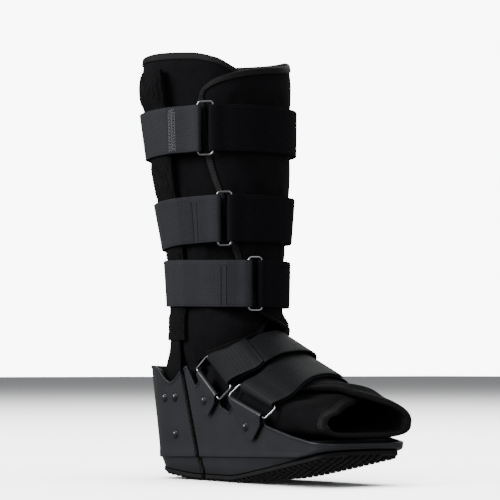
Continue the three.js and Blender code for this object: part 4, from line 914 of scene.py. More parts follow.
def grown(obj, group, **values):
    """Runs a node tree on an object and keeps the result as its plain mesh."""
    modifier = obj.modifiers.new(group.name, "NODES")
    modifier.node_group = group
    for item in group.interface.items_tree:
        key = item.name.replace(" ", "_")
        if item.in_out == "INPUT" and key in values:
            modifier[item.identifier] = values[key]
    bpy.context.view_layer.update()
    depsgraph = bpy.context.evaluated_depsgraph_get()
    mesh = bpy.data.meshes.new_from_object(obj.evaluated_get(depsgraph), depsgraph=depsgraph)
    obj.modifiers.clear()
    obj.data = mesh
    if not mesh.polygons:
        raise RuntimeError(f"{obj.name} came out empty")
    return obj


# Finishes


class Finish:
    """A material whose colour, roughness and relief come from nodes."""

    def __init__(self, name, color, roughness, relief=0.0, **inputs):
        self.material = bpy.data.materials.new(name)
        self.material.use_nodes = True
        self.tree = self.material.node_tree
        self.shader = self.tree.nodes["Principled BSDF"]
        self.color, self.roughness, self.relief = color, roughness, relief
        for key, value in inputs.items():
            self.shader.inputs[key.replace("_", " ")].default_value = value
        self.place = self.add("ShaderNodeTexCoord")

    def add(self, kind, settings=None, **inputs):
        node = self.tree.nodes.new(kind)
        for key, value in (settings or {}).items():
            setattr(node, key, value)
        for key, value in inputs.items():
            socket = node.inputs[key.replace("_", " ")]
            if isinstance(value, bpy.types.NodeSocket):
                self.tree.links.new(value, socket)
            else:
                socket.default_value = value
        return node

    def noise(self, scale, detail=3.0, where="Object", stretch=(1, 1, 1)):
        moved = self.add("ShaderNodeMapping", Vector=self.place.outputs[where], Scale=stretch)
        grain = self.add("ShaderNodeTexNoise", Vector=moved.outputs[0], Scale=scale, Detail=detail)
        return grain.outputs["Fac"]

    def ribs(self, pitch, direction="Y", distortion=0.0, turn=0.0):
        spin = (0, 0, math.radians(turn))
        moved = self.add("ShaderNodeMapping", Vector=self.place.outputs["UV"], Rotation=spin)
        return self.add(
            "ShaderNodeTexWave", {"wave_type": "BANDS", "bands_direction": direction, "wave_profile": "SIN"},
            Vector=moved.outputs[0], Scale=0.314 / pitch, Distortion=distortion, Detail=1.0,
        ).outputs["Fac"]

    def arcs(self, pitch):
        """Slow arcs across a strap, as two weaves make them in the light; they paint sheen into a colour."""
        middle, stretch = (-0.012, 0.06, 0), (0.55, 1, 1)
        flat = self.place.outputs["UV"]
        repeat = self.add("ShaderNodeMapping", Vector=flat, Location=middle, Scale=stretch)
        return self.add(
            "ShaderNodeTexWave",
            {"wave_type": "RINGS", "rings_direction": "SPHERICAL", "wave_profile": "SIN"},
            Vector=repeat.outputs[0], Scale=0.314 / pitch, Distortion=0.6, Detail=1.0, Detail_Scale=0.5,
        ).outputs["Fac"]

    def math(self, a, b, how):
        node = self.tree.nodes.new("ShaderNodeMath")
        node.operation = how
        for socket, value in zip(node.inputs, (a, b)):
            if isinstance(value, bpy.types.NodeSocket):
                self.tree.links.new(value, socket)
            else:
                socket.default_value = value
        return node.outputs[0]

    def between(self, factor, low, high):
        return self.add("ShaderNodeMapRange", Value=factor, To_Min=low, To_Max=high).outputs[0]

    def paint(self, factor, dark=0.75, light=1.25):
        """Varies the colour between a darker and a lighter one."""
        ramp = self.add("ShaderNodeValToRGB", Fac=factor)
        for stop, share, at in zip(ramp.color_ramp.elements, (dark, light), (0.3, 0.72)):
            stop.position = at
            stop.color = (*[min(1, c * share) for c in self.color], 1)
        self.tree.links.new(ramp.outputs[0], self.shader.inputs["Base Color"])
        return ramp.outputs[0]

    def paint_shade_in_hollows(self, painted, reach):
        """Darkens the colour in narrow grooves and at the foot of ledges: painted shade, from an ambient
        occlusion node.
        """
        near = self.add("ShaderNodeAmbientOcclusion", {"samples": 8}, Distance=reach)
        depth = self.math(near.outputs["AO"], 3, "POWER")
        darker = self.add("ShaderNodeVectorMath", {"operation": "SCALE"}, Scale=depth)
        self.tree.links.new(painted, darker.inputs[0])
        self.tree.links.new(darker.outputs[0], self.shader.inputs["Base Color"])

    def polish(self, factor, spread=0.08):
        value = self.between(factor, max(0.02, self.roughness - spread), min(1, self.roughness + spread))
        self.tree.links.new(value, self.shader.inputs["Roughness"])

    def emboss(self, *layers):
        """Relief from heights, each with its depth in millimetres."""
        normal = None
        for height, depth in layers:
            bump = self.add("ShaderNodeBump", Height=height, Strength=1.0, Distance=depth * MM)
            if normal is not None:
                self.tree.links.new(normal, bump.inputs["Normal"])
            normal = bump.outputs[0]
        self.tree.links.new(normal, self.shader.inputs["Normal"])


def moulded_plastic(name, color, roughness=0.4):
    finish = Finish(name, color, roughness, Specular_IOR_Level=0.5)
    slow, grain = finish.noise(38, 4), finish.noise(2600, 2)
    # Painted shade: the colour darkens in grooves and hollows where ambient occlusion finds them
    finish.paint_shade_in_hollows(finish.paint(slow, 0.88, 1.18), 0.018)
    finish.polish(finish.noise(210, 5), 0.07)
    finish.emboss((grain, 0.05), (finish.noise(150, 3), 0.08))
    return finish.material


def tread_rubber(name, color):
    finish = Finish(name, color, 0.72, Specular_IOR_Level=0.3)
    finish.paint(finish.noise(90, 5), 0.7, 1.35)
    finish.polish(finish.noise(320, 4), 0.1)
    finish.emboss((finish.noise(1500, 3), 0.12))
    return finish.material


def padded_cloth(name, color):
    """Lining cloth over foam: a fine knit, with soft patches where it's worn."""
    finish = Finish(name, color, 0.88, Specular_IOR_Level=0.12, Sheen_Weight=0.015, Sheen_Roughness=0.5)
    knit = finish.math(finish.ribs(0.0011, "X"), finish.ribs(0.0011, "Y"), "MULTIPLY")
    finish.paint(finish.math(finish.noise(55, 5), finish.math(knit, 0.25, "MULTIPLY"), "ADD"), 0.72, 1.3)
    finish.polish(finish.noise(600, 3), 0.08)
    finish.emboss((finish.noise(260, 5), 0.35), (knit, 0.16))
    return finish.material


def brushed_pile(name, color):
    """Loop pile: short fuzz in every direction."""
    finish = Finish(name, color, 0.95, Specular_IOR_Level=0.06, Sheen_Weight=0.012, Sheen_Roughness=0.6)
    fuzz = finish.noise(1500, 6)
    finish.paint(fuzz, 0.35, 1.9)
    finish.polish(fuzz, 0.05)
    finish.emboss((fuzz, 0.55), (finish.noise(420, 3), 0.3))
    return finish.material


def hatched_cloth(name, color):
    """Brushed cloth with a slanting hatch of loose fibres."""
    finish = Finish(name, color, 0.95, Specular_IOR_Level=0.06, Sheen_Weight=0.012, Sheen_Roughness=0.6)
    hatch = finish.math(finish.noise(420, 5, "UV", (1, 0.25, 1)), finish.noise(1300, 4), "MULTIPLY")
    finish.paint(finish.between(hatch, 0, 2.2), 0.4, 2.1)
    finish.polish(finish.noise(500, 3), 0.04)
    finish.emboss((hatch, 0.9), (finish.ribs(0.0016, "DIAGONAL", 2.0), 0.12))
    return finish.material


def ribbed_webbing(name, color, pitch=0.0012, contrast=0.2):
    """Flat woven webbing: ribs across it, warp threads along it, and slow arcs of painted sheen in its
    colour, which also vary its roughness.
    """
    finish = Finish(name, color, 0.58, Specular_IOR_Level=0.2, Sheen_Weight=0.01)
    weft, warp = finish.ribs(pitch, "Y"), finish.ribs(0.0019, "X")
    arcs = finish.arcs(0.0042)
    # The colour takes random tone plus the arcs, which are painted sheen
    soft = finish.math(finish.noise(60, 3), finish.math(arcs, 0.34, "MULTIPLY"), "ADD")
    finish.paint(finish.math(finish.math(weft, contrast, "MULTIPLY"), soft, "ADD"), 0.78, 1.22)
    finish.polish(arcs, 0.07)
    finish.emboss((weft, 0.8 * contrast), (warp, 0.1), (finish.noise(900, 3), 0.06))
    return finish.material


def woven_tape(name, color):
    finish = Finish(name, color, 0.5, Specular_IOR_Level=0.16, Sheen_Weight=0.005)
    rib = finish.ribs(0.0010, "Y")
    finish.paint(finish.math(finish.noise(240, 3), finish.math(rib, 0.2, "MULTIPLY"), "ADD"), 0.8, 1.25)
    finish.polish(finish.noise(500, 3), 0.06)
    finish.emboss((rib, 0.14), (finish.noise(1300, 2), 0.07))
    return finish.material


def bright_wire(name, color):
    finish = Finish(name, color, 0.16, Metallic=1.0)
    finish.paint(finish.noise(260, 4), 0.85, 1.08)
    finish.polish(finish.noise(700, 4), 0.09)
    finish.emboss((finish.noise(1900, 2), 0.015))
    return finish.material


def painted_metal(name, color, roughness=0.45, metallic=0.0, specular=0.5):
    finish = Finish(name, color, roughness, Metallic=metallic, Specular_IOR_Level=specular)
    finish.paint(finish.noise(120, 5), 0.8, 1.25)
    finish.polish(finish.noise(420, 4), 0.08)
    finish.emboss((finish.noise(1100, 3), 0.05))
    return finish.material


def twisted_thread(name, color):
    finish = Finish(name, color, 0.6, Specular_IOR_Level=0.3)
    finish.paint(finish.noise(1400, 2), 0.75, 1.3)
    finish.polish(finish.noise(900, 2), 0.08)
    finish.emboss((finish.noise(2600, 2), 0.08))
    return finish.material


def pale_floor(name, color):
    finish = Finish(name, color, 0.7, Specular_IOR_Level=0.25)
    finish.paint(finish.noise(1.5, 2), 0.985, 1.0)
    finish.polish(finish.noise(30, 3), 0.04)
    return finish.material


# What a user would change


def size(name, description, default, **limits):
    return bpy.props.FloatProperty(
        name=name, description=description, default=default,
        subtype="DISTANCE", unit="LENGTH", precision=4, **limits,
    )


def colour(name, description, default):
    return bpy.props.FloatVectorProperty(
        name=name, description=description, default=default, subtype="COLOR", size=3, min=0, max=1
    )


class BootSizes(bpy.types.PropertyGroup):
    leg_swell: size("Leg swell", "How far the leg's padding swells between straps", 0.0016, min=0, max=0.003)
    foot_swell: size("Foot swell", "How far the foot's padding swells", 0.0012, min=0, max=0.003)
    stitch_pitch: size("Stitch pitch", "From one stitch to the next", 0.0031, min=0.001, max=0.01)
    stitch_length: size("Stitch length", "Length of one stitch", 0.0023, min=0.001, max=0.01)
    stitch_width: size("Stitch width", "Thickness of the sewing thread", 0.0007, min=0.0002, max=0.002)
    wire_radius: size("Wire radius", "Radius of the rings' wire", 0.00115, min=0.0005, max=0.003)
    corner_radius: size("Ring corner", "Radius of a ring's corners", 0.0034, min=0.001, max=0.006)
    stud_pitch: size("Stud pitch", "Between the studs under the sole", 0.0092, min=0.006, max=0.03)
    stud_radius: size("Stud radius", "Radius of a stud under the sole", 0.0032, min=0.001, max=0.006)


class BootColours(bpy.types.PropertyGroup):
    shell: colour("Shell", "Moulded plastic of the shell", (0.0212, 0.023, 0.0282))
    tab: colour("Tabs", "Plastic of the tabs that hold the foot rings", (0.023, 0.0258, 0.030))
    rubber: colour("Sole", "Rubber of the sole", (0.0085, 0.0083, 0.0095))
    insole: colour("Insole", "Foam pad on the foot plate", (0.005, 0.005, 0.0055))
    liner: colour("Liner", "Cloth of the padded liner", (0.0064, 0.006, 0.0074))
    binding: colour("Binding", "Tape on the liner's edges", (0.0085, 0.0084, 0.0095))
    pile: colour("Pile", "Brushed straps round the leg", (0.0086, 0.0083, 0.0102))
    sleeve: colour("Sleeves", "Brushed cloth round the uprights", (0.0062, 0.0062, 0.0068))
    webbing: colour("Webbing", "Ribbed webbing round the leg", (0.0262, 0.0268, 0.0318))
    foot_strap: colour("Foot straps", "Smooth straps over the foot", (0.0076, 0.0083, 0.0098))
    upright: colour("Uprights", "Paint of the flat bars", (0.0025, 0.0025, 0.0028))
    steel: colour("Rings", "Bright wire of the rings", (0.42, 0.43, 0.45))
    rivet: colour("Rivets", "Domed heads of the rivets", (0.07, 0.073, 0.08))
    thread: colour("Thread", "Sewing thread of the straps", (0.24, 0.245, 0.26))
    dark_thread: colour("Dark thread", "Thread of the liner and the foot straps", (0.006, 0.006, 0.007))
    floor: colour("Floor", "The pale floor", (0.9, 0.905, 0.91))


def finish_of(name):
    """The finish of that name, made the first time that it's asked for."""
    colours = bpy.context.scene.boot_colours
    recipes = {
        "Moulded plastic": lambda n: moulded_plastic(n, colours.shell),
        "Tab plastic": lambda n: moulded_plastic(n, colours.tab, 0.36),
        "Sole rubber": lambda n: tread_rubber(n, colours.rubber),
        "Insole foam": lambda n: padded_cloth(n, colours.insole),
        "Liner cloth": lambda n: padded_cloth(n, colours.liner),
        "Edge tape": lambda n: woven_tape(n, colours.binding),
        "Strap pile": lambda n: brushed_pile(n, colours.pile),
        "Sleeve cloth": lambda n: hatched_cloth(n, colours.sleeve),
        "Leg webbing": lambda n: ribbed_webbing(n, colours.webbing),
        "Foot webbing": lambda n: ribbed_webbing(n, colours.foot_strap, 0.0007, 0.03),
        "Upright paint": lambda n: painted_metal(n, colours.upright, 0.5, specular=0.12),
        "Ring steel": lambda n: bright_wire(n, colours.steel),
        "Rivet metal": lambda n: painted_metal(n, colours.rivet, 0.28, 0.85),
        "Sewing thread": lambda n: twisted_thread(n, colours.thread),
        "Dark thread": lambda n: twisted_thread(n, colours.dark_thread),
        "Pale floor": lambda n: pale_floor(n, colours.floor),
    }
    return bpy.data.materials.get(name) or recipes[name](name)


def settle(obj, finish, slot, *nodes):
    """Gives a piece its finish, lets it ride on the boot and stand for its solids."""
    obj.data.materials.clear()
    obj.data.materials.append(finish_of(finish))
    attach(obj, "root")
    if nodes:
        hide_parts(*nodes)
    return obj


def sewn(name, lines, slot="binding", thread="Sewing thread", **values):
    """A row of stitches along each line."""
    sizes = bpy.context.scene.boot_sizes
    given = {"Pitch": sizes.stitch_pitch, "Length": sizes.stitch_length, "Width": sizes.stitch_width}
    given.update(values)
    group = bpy.data.node_groups.get("Stitches") or stitch_tree()
    obj = grown(polylines(name, lines), group, Material=finish_of(thread), **given)
    return settle(obj, thread, slot)


# Pieces


class BOOT_OT_shell(bpy.types.Operator):
    """Moulds the shell: foot plate, band, ledge, winged sides with a beaded rim, and round heel"""

    bl_idname = "boot.shell"
    bl_label = "Shell"

    def execute(self, context):
        y = PLAN_Y
        plate, bottom, step = foot_plate(y), sole_bottom(y) + SOLE_THICKNESS, ledge(y)
        top = np.maximum(shell_edge(y), plate + 0.4)
        bead = 0.7 * ease(top - step, 8, 16)
        rows = [plan_row(bottom, -BAND_INSET - BAND_TAPER - 1, 0)]
        band = (
            (0, -1, 0), (0.8, 0, 0), (0, 0, 0.5), (-1.3, 0, 1), (-1.0, 1.4, 1), (-0.3, 2.3, 1), (0.9, 2.5, 1),
        )
        for rise, more, share in band:
            inset = -BAND_INSET - BAND_TAPER * (1 - share) + more
            rows.append(plan_row(lerp(bottom, step, share) + rise, inset))
        for t in np.linspace(0, 1, 22)[1:]:
            z = lerp(step + 0.9, top - 3.6, t)
            rows.append(plan_row(z, lean(z)))
        for down, out in ((3.1, 0.25), (2.7, 0.8), (2.1, 1.0)):
            rows.append(plan_row(top - down, lean(top - down) + bead * out))
        for a in np.radians(np.linspace(0, 180, 9)):
            half = (SHELL_WALL + bead) / 2
            z = top - 1.1 * (1 - np.sin(a))
            rows.append(plan_row(z, lean(z) + bead - half + half * np.cos(a)))
        for t in np.linspace(0, 1, 14)[1:]:
            z = np.maximum(lerp(top - 1.1, plate, t), plate)
            rows.append(plan_row(z, lean(z) - SHELL_WALL))
        rows.append(plan_row(plate, -SHELL_WALL, 0))
        settle(moulding("shell_moulding", rows), "Moulded plastic", "shell", "shell")
        return {"FINISHED"}


class BOOT_OT_sole(bpy.types.Operator):
    """Lays the rubber sole under the shell, with its rows of studs"""

    bl_idname = "boot.sole"
    bl_label = "Sole"

    def execute(self, context):
        sizes = context.scene.boot_sizes
        low, high = sole_bottom(PLAN_Y) + TREAD_DEPTH, sole_bottom(PLAN_Y) + SOLE_THICKNESS - GAP
        inset = -BAND_INSET - BAND_TAPER + 0.5
        steps = ((low, inset - 0.8, 0), (low, inset - 0.8, 1), (low + 0.5, inset, 1), (high - 0.3, inset, 1))
        steps += ((high, inset - 0.4, 1), (high, inset - 0.4, 0))
        rows = [plan_row(z, out, scale) for z, out, scale in steps]
        settle(moulding("sole_base", rows), "Sole rubber", "rubber")
        pitch, radius = sizes.stud_pitch / MM, sizes.stud_radius / MM
        edge_x, edge_y = half_plan(10, inset - radius - 1.6)
        order = np.argsort(edge_y)
        places = []
        for row, y in enumerate(np.arange(edge_y[0] + 1, edge_y.max() - 1, pitch * 0.9)):
            reach = float(np.interp(y, edge_y[order], edge_x[order]))
            across = np.arange(row % 2 * pitch / 2, reach, pitch)
            across = across * reach / max(across[-1], 1) if len(across) > 1 else across
            for x in np.unique(np.concatenate([-across, across])):
                places.append((x, y, float(sole_bottom(y)) + TREAD_DEPTH + 0.3))
        places = np.array(places)
        slope = (sole_bottom(places[:, 1] + 1) - sole_bottom(places[:, 1] - 1)) / 2
        deep = TREAD_DEPTH + 0.25
        stud = ((0, 0), (radius, 0), (radius * 0.86, deep - 0.4), (radius * 0.72, deep), (0, deep))
        shape = lathe("stud_shape", stud, 10)
        group = bpy.data.node_groups.get("Standing shapes") or standing_tree()
        studs = spots("sole_studs", places, xyz(0, slope, -1))
        grown(studs, group, Shape=shape, Material=finish_of("Sole rubber"))
        bpy.data.objects.remove(shape)
        settle(studs, "Sole rubber", "rubber", "outsole")
        return {"FINISHED"}


class BOOT_OT_insole(bpy.types.Operator):
    """Cuts the foam pad on the foot plate, with a soft edge"""

    bl_idname = "boot.insole"
    bl_label = "Insole"

    def execute(self, context):
        inset = -SHELL_WALL - 1.5
        plate = foot_plate(PLAN_Y) + GAP
        profile = (
            (0, -0.6, 0), (0, -0.6, 1), (0.7, 0, 1), (3.1, 0, 1), (3.7, -0.4, 1), (4, -1.3, 1), (4, -1.3, 0),
        )
        rows = [plan_row(plate + up, inset + out, scale) for up, out, scale in profile]
        settle(moulding("insole_pad", rows), "Insole foam", "insole", "insole")
        return {"FINISHED"}


LEG_INSIDE = (0.0155, 0.9845, 0.027, 0.973)


class BOOT_OT_leg_liner(bpy.types.Operator):
    """Pads the wrap round the leg, its outer flap over its inner one, and tapes and sews its edges"""

    bl_idname = "boot.leg_liner"
    bl_label = "Leg liner"

    def execute(self, context):
        swell = context.scene.boot_sizes.leg_swell / MM
        at = lambda s, v: leg_wrap(s, v, swell)
        v, s = np.meshgrid(crowded(104, 0.05, 8), crowded(250, 0.03, 9), indexing="ij")
        outer, inner = at(s, v)
        liner = wall("leg_padding", outer, inner, np.stack([s * 0.47, v * 0.3], axis=-1))
        settle(liner, "Liner cloth", "liner", "leg_liner")
        bottom = np.linspace(0.3203, 0, 90)
        side = np.linspace(0, 1, 130)[1:-1]
        top, low_end = np.linspace(0, 1, 300), np.linspace(1, 0.7776, 70)
        s = np.concatenate([bottom, 0 * side, top, 0 * side + 1, low_end])
        v = np.concatenate([0 * bottom, side, np.ones(300), side[::-1], np.zeros(70)])
        low_s, high_s, low_v, high_v = LEG_INSIDE
        inside = (np.clip(s, low_s, high_s), np.clip(v, low_v, high_v))
        piping = 1.35 + 0.7 * (v == 0)
        binding, seams = tape("leg_edge_tape", at, (s, v), inside, 0.35, piping)
        settle(binding, "Edge tape", "binding", "leg_binding")
        sewn("leg_tape_stitches", [seams[0][3:-3]], thread="Dark thread")
        return {"FINISHED"}


class BOOT_OT_foot_liner(bpy.types.Operator):
    """Pads the wrap round the foot with its heel cup, and tapes and sews the toe opening and flap"""

    bl_idname = "boot.foot_liner"
    bl_label = "Foot liner"

    def execute(self, context):
        swell = context.scene.boot_sizes.foot_swell / MM
        at = lambda s, t: foot_wrap(s, t, swell)
        s = np.unique(np.concatenate([np.linspace(0, 1, 230), np.linspace(0.96, 1, 10)]))
        t = np.unique(np.concatenate([np.linspace(0, 1, 80), np.linspace(0, 0.06, 8)]))
        t, s = np.meshgrid(t, s, indexing="ij")
        outer, inner = at(s, t)
        liner = wall("foot_padding", outer, inner, np.stack([s * 0.4, t * 0.2], axis=-1))
        cup = self.heel_cup()
        with context.temp_override(active_object=liner, selected_editable_objects=[liner, cup]):
            bpy.ops.object.join()
        settle(liner, "Liner cloth", "liner", "foot_liner")
        edge = np.linspace(0.072, 1, 320)
        turn = lerp(FOOT_START, FOOT_END, edge)
        depth = BOOT_LENGTH * (foot_rear(turn) - foot_front(turn))
        near = 8 / depth
        up = np.linspace(0, 1 - near[-1], 60)[1:]
        s = np.concatenate([edge, 0 * up + 1])
        t = np.concatenate([0 * edge, up])
        inside = (np.minimum(s, 0.979), np.concatenate([near, np.maximum(up, near[-1])]))
        binding, seams = tape("foot_edge_tape", at, (s, t), inside, 0.35, 1.35)
        settle(binding, "Edge tape", "binding", "foot_binding")
        sewn("foot_tape_stitches", [line[3:-3] for line in seams], thread="Dark thread")
        return {"FINISHED"}

    def heel_cup(self):
        """The cup behind and under the heel: a wall round it, and a floor that meets in the middle."""
        top, front = 0.262 * LINER_HEIGHT, 0.125 * BOOT_LENGTH
        room = UPRIGHT_THICKNESS + 5 * GAP
        angle = np.linspace(0, 90, 30)

        def row(level, above_floor, taper, thinner, scale=1.0):
            z = max(level, FLOOR_AT_HEEL)
            out = 0.5 * float(lean(z)) - SHELL_WALL - room - thinner - taper
            x, y = heel_point(angle, out, 0)
            mouth = np.linspace(front, HEEL_REACH - HEEL_ROUND, 8)[:-1]
            x = np.concatenate([shell_wide(HEEL_REACH - HEEL_ROUND) + out + 0 * mouth, x])
            y = np.concatenate([mouth, y])
            height = foot_bottom(y) + level if above_floor else level + 0 * y
            half = xyz(x * scale, y, height)
            return np.concatenate([half, half[-2::-1] * np.array([-1, 1, 1])])

        heights = np.linspace(0, 1, 12)
        outside = [row(0.3, True, 7, 0, 0), row(0.3, True, 7, 0), row(2, True, 3, 0), row(5, True, 0.8, 0)]
        start = foot_bottom(front) + 8
        outside += [row(lerp(start, top - 2, h), False, 0, 0) for h in heights]
        inside = [row(0.3 + LINER_WALL, True, 7, LINER_WALL, 0), row(0.3 + LINER_WALL, True, 7, LINER_WALL)]
        inside += [row(10, True, 3, LINER_WALL), row(13, True, 0.8, LINER_WALL)]
        inside += [row(lerp(start + LINER_WALL, top - 2, h), False, 0, LINER_WALL) for h in heights]
        rim = [row(top, False, 1.5, 0), row(top, False, 1.5, LINER_WALL - 3)]
        rows = outside + rim + inside[::-1]
        points = np.stack(rows)
        count, columns = points.shape[:2]
        ends = []
        for r in range(count // 2):
            a, b = r * columns, (count - 1 - r) * columns
            last = columns - 1
            ends.append((a, a + columns, b - columns, b))
            ends.append((a + last, b + last, b - columns + last, a + columns + last))
        across, along = np.arange(columns)[None, :] * 4.0, np.arange(count)[:, None] * 6.0
        uv = np.stack(np.broadcast_arrays(across, along), -1) * MM
        return build("heel_cup", points, np.concatenate([grid(count, columns), ends[:-2]]), uv)


class BOOT_OT_uprights(bpy.types.Operator):
    """Bends the two flat bars up from the shell, and covers them with brushed sleeves"""

    bl_idname = "boot.uprights"
    bl_label = "Uprights and sleeves"

    def execute(self, context):
        for name, side in SIDES.items():
            half = UPRIGHT_WIDTH / 2
            tip = UPRIGHT_TOP - np.array([8, 5, 2.5, 1, 0])
            z = np.concatenate([np.linspace(UPRIGHT_FOOT, UPRIGHT_TOP - 12, 110), tip])
            edges = [upright_point(side, back, z, UPRIGHT_THICKNESS / 2) for back in (-half, half)]
            bar, _, _ = ribbon(f"bar_{name}", *edges, UPRIGHT_THICKNESS, round_end=9, across=5)
            settle(bar, "Upright paint", "upright", f"upright_{name}")
            self.sleeve(name, side)
        return {"FINISHED"}

    def sleeve(self, name, side):
        z = np.linspace(SLEEVE_BOTTOM, SLEEVE_TOP, 120)
        t = np.linspace(-1, 1, 25)
        t, height = np.meshgrid(t, z)
        half = SLEEVE_WIDTH / 2 * (1 - 0.15 * ease(height, SLEEVE_TOP - 22, SLEEVE_TOP))
        crown = 1 - np.abs(t) ** 4
        puff = SLEEVE_PUFF * np.exp(-(((height - PUFF_HEIGHT) / PUFF_SPREAD) ** 2)) * crown
        puff += 0.5 * np.sin(height * 0.09 + 2 * t) * np.sin(height * 0.21 + t) * crown
        hem = 0.8 * np.exp(-(((height - SLEEVE_BOTTOM - 9) / 1.6) ** 2)) * crown
        level = [LINER_HEIGHT * (strap["up"] - strap["drop"] / 2) for strap in LEG_STRAPS.values()]
        free = ease(np.minimum.reduce([np.abs(height - z) for z in level]) - STRAP_WIDTH / 2, 4, 11)
        high = SLEEVE_LIFT + SLEEVE_DEPTH - 3 + 2.3 * crown + (puff + 1.1) * free - hem
        closing = ease(height, SLEEVE_TOP - 5, SLEEVE_TOP)
        low = SLEEVE_LIFT + 1.0 * np.abs(t) ** 4
        hole = SLEEVE_LIFT + SLEEVE_WALL
        inner_half = UPRIGHT_WIDTH / 2 + 1.6
        over = side_point(side, t * half, height, lerp(high, hole + 2, closing * 0.7))
        under = side_point(side, t * half, height, low)
        bore_z = np.linspace(SLEEVE_TOP - 5, SLEEVE_BOTTOM, 60)
        bore_t, bore_height = np.meshgrid(np.linspace(-1, 1, 25), bore_z)
        bore_lift = hole + UPRIGHT_THICKNESS + SLEEVE_SPACE
        bore_over = side_point(side, bore_t * inner_half, bore_height, bore_lift)
        bore_under = side_point(side, bore_t * inner_half, bore_height, hole)
        outline = np.concatenate([over, under[:, ::-1]], axis=1)
        bore = np.concatenate([bore_over, bore_under[:, ::-1]], axis=1)
        points = np.concatenate([bore, outline])
        rows, columns = points.shape[:2]
        top_out = (rows - 1) * columns
        pairs = [(i, i + 1, columns - 2 - i, columns - 1 - i) for i in range(columns // 2 - 1)]
        caps = [tuple(first + c for c in pair) for first in (0, top_out) for pair in pairs]
        uv = np.stack(np.broadcast_arrays(np.arange(columns)[None, :] * 1.9, points[..., 2]), axis=-1) * MM
        sleeve = build(f"sleeve_{name}", points, grid(rows, columns, wrap=True), uv, caps, sharp=50)
        settle(sleeve, "Sleeve cloth", "sleeve", f"upright_sleeve_{name}")
        seams = []
        for back in (-1, 1):
            line = side_point(side, back * (SLEEVE_WIDTH / 2 - 3), z[3:-8], SLEEVE_LIFT + SLEEVE_DEPTH - 0.9)
            seams.append(line)
        sewn(f"sleeve_{name}_stitches", seams, "sleeve", "Dark thread")


def bar_turns(strap):
    half_gap = RING_GAP / 2 * math.degrees(1 / CALF_HALF_WIDTH)
    return strap["turn"] - half_gap, strap["turn"] + half_gap


class BOOT_OT_leg_straps(bpy.types.Operator):
    """Folds the ribbed webbing and the brushed straps of the leg round their rings, and sews their ends"""

    bl_idname = "boot.leg_straps"
    bl_label = "Leg straps"

    def execute(self, context):
        for name, strap in LEG_STRAPS.items():
            track = leg_track(strap)
            outer_bar, inner_bar = bar_turns(strap)
            web_end = outer_bar - WEBBING_TAIL
            edges = folded(track, outer_bar, 1, WEBBING_START, web_end, WEBBING_THICKNESS)
            web, flat, _ = ribbon(f"leg_webbing_{name}", *edges, WEBBING_THICKNESS, across=13)
            settle(web, "Leg webbing", "webbing", f"webbing_{name}")
            edges = folded(track, inner_bar, -1, PILE_START, strap["tail"], PILE_THICKNESS)
            pile, flat, _ = ribbon(
                f"leg_strap_{name}", *edges, PILE_THICKNESS, round_end=7, crown=0.25, across=13
            )
            settle(pile, "Strap pile", "pile", f"strap_{name}")
            self.sewing(name, strap, track, outer_bar, inner_bar)
        return {"FINISHED"}

    def sewing(self, name, strap, track, outer_bar, inner_bar):
        def across(turn, thickness, zigzag=0.0, count=2):
            lift = 2 * thickness + GAP + 0.1
            turns = turn + zigzag * (np.arange(count) % 2)
            low, high = track(turns, np.full(count, lift))
            share = np.linspace(0.06, 0.94, count)[:, None]
            return lerp(low, high, share)

        dense = lambda line: np.concatenate([np.linspace(a, b, 12)[:-1] for a, b in zip(line[:-1], line[1:])])
        end = outer_bar - WEBBING_TAIL
        lines = [dense(across(end + at, WEBBING_THICKNESS)) for at in (1, 6)]
        if name == "top":
            lines += [dense(across(end + at, WEBBING_THICKNESS, 2.6, 26)) for at in (1.2, 3)]
        thread = "Sewing thread" if name == "top" else "Dark thread"
        sewn(f"leg_webbing_{name}_stitches", lines, "webbing", thread, Pitch=0.0021, Length=0.0019)
        turns = np.linspace(inner_bar + 14, strap["tail"] - 3, 90)
        low, high = track(turns, np.full(90, 2 * PILE_THICKNESS + GAP + 0.12))
        edge = [lerp(low, high, share) for share in (0.07, 0.93)]
        sewn(f"leg_strap_{name}_stitches", edge, "pile", "Dark thread", Width=0.0005)


class BOOT_OT_foot_straps(bpy.types.Operator):
    """Lays the two smooth straps over the foot, folded round their rings, with sewn tails"""

    bl_idname = "boot.foot_straps"
    bl_label = "Foot straps"

    def execute(self, context):
        for name, strap in FOOT_STRAPS.items():
            front, rear = foot_strap_lines(strap, tab_frame(1, strap))
            band, flat, _ = ribbon(f"foot_strap_{name}", rear, front, FOOT_STRAP_THICKNESS, across=13)
            settle(band, "Foot webbing", "webbing", f"strap_{name}")
            track = foot_track(strap)
            lift = 2 * FOOT_STRAP_THICKNESS + 1.2 * GAP + 0.15
            lines = []
            for at in (strap["tail"] - 0.02, strap["tail"] - 0.055):
                a, b = track(at, lift)
                lines.append(np.linspace(lerp(a, b, 0.05), lerp(a, b, 0.95), 40))
            lines.append(np.stack([
                lerp(*track(strap["tail"] - 0.024 - 0.028 * (k % 2), lift), t)
                for k, t in enumerate(np.linspace(0.05, 0.95, 24))
            ]))
            sewn(f"foot_strap_{name}_stitches", lines, "webbing", "Dark thread", Pitch=0.0019, Length=0.0017)
        return {"FINISHED"}


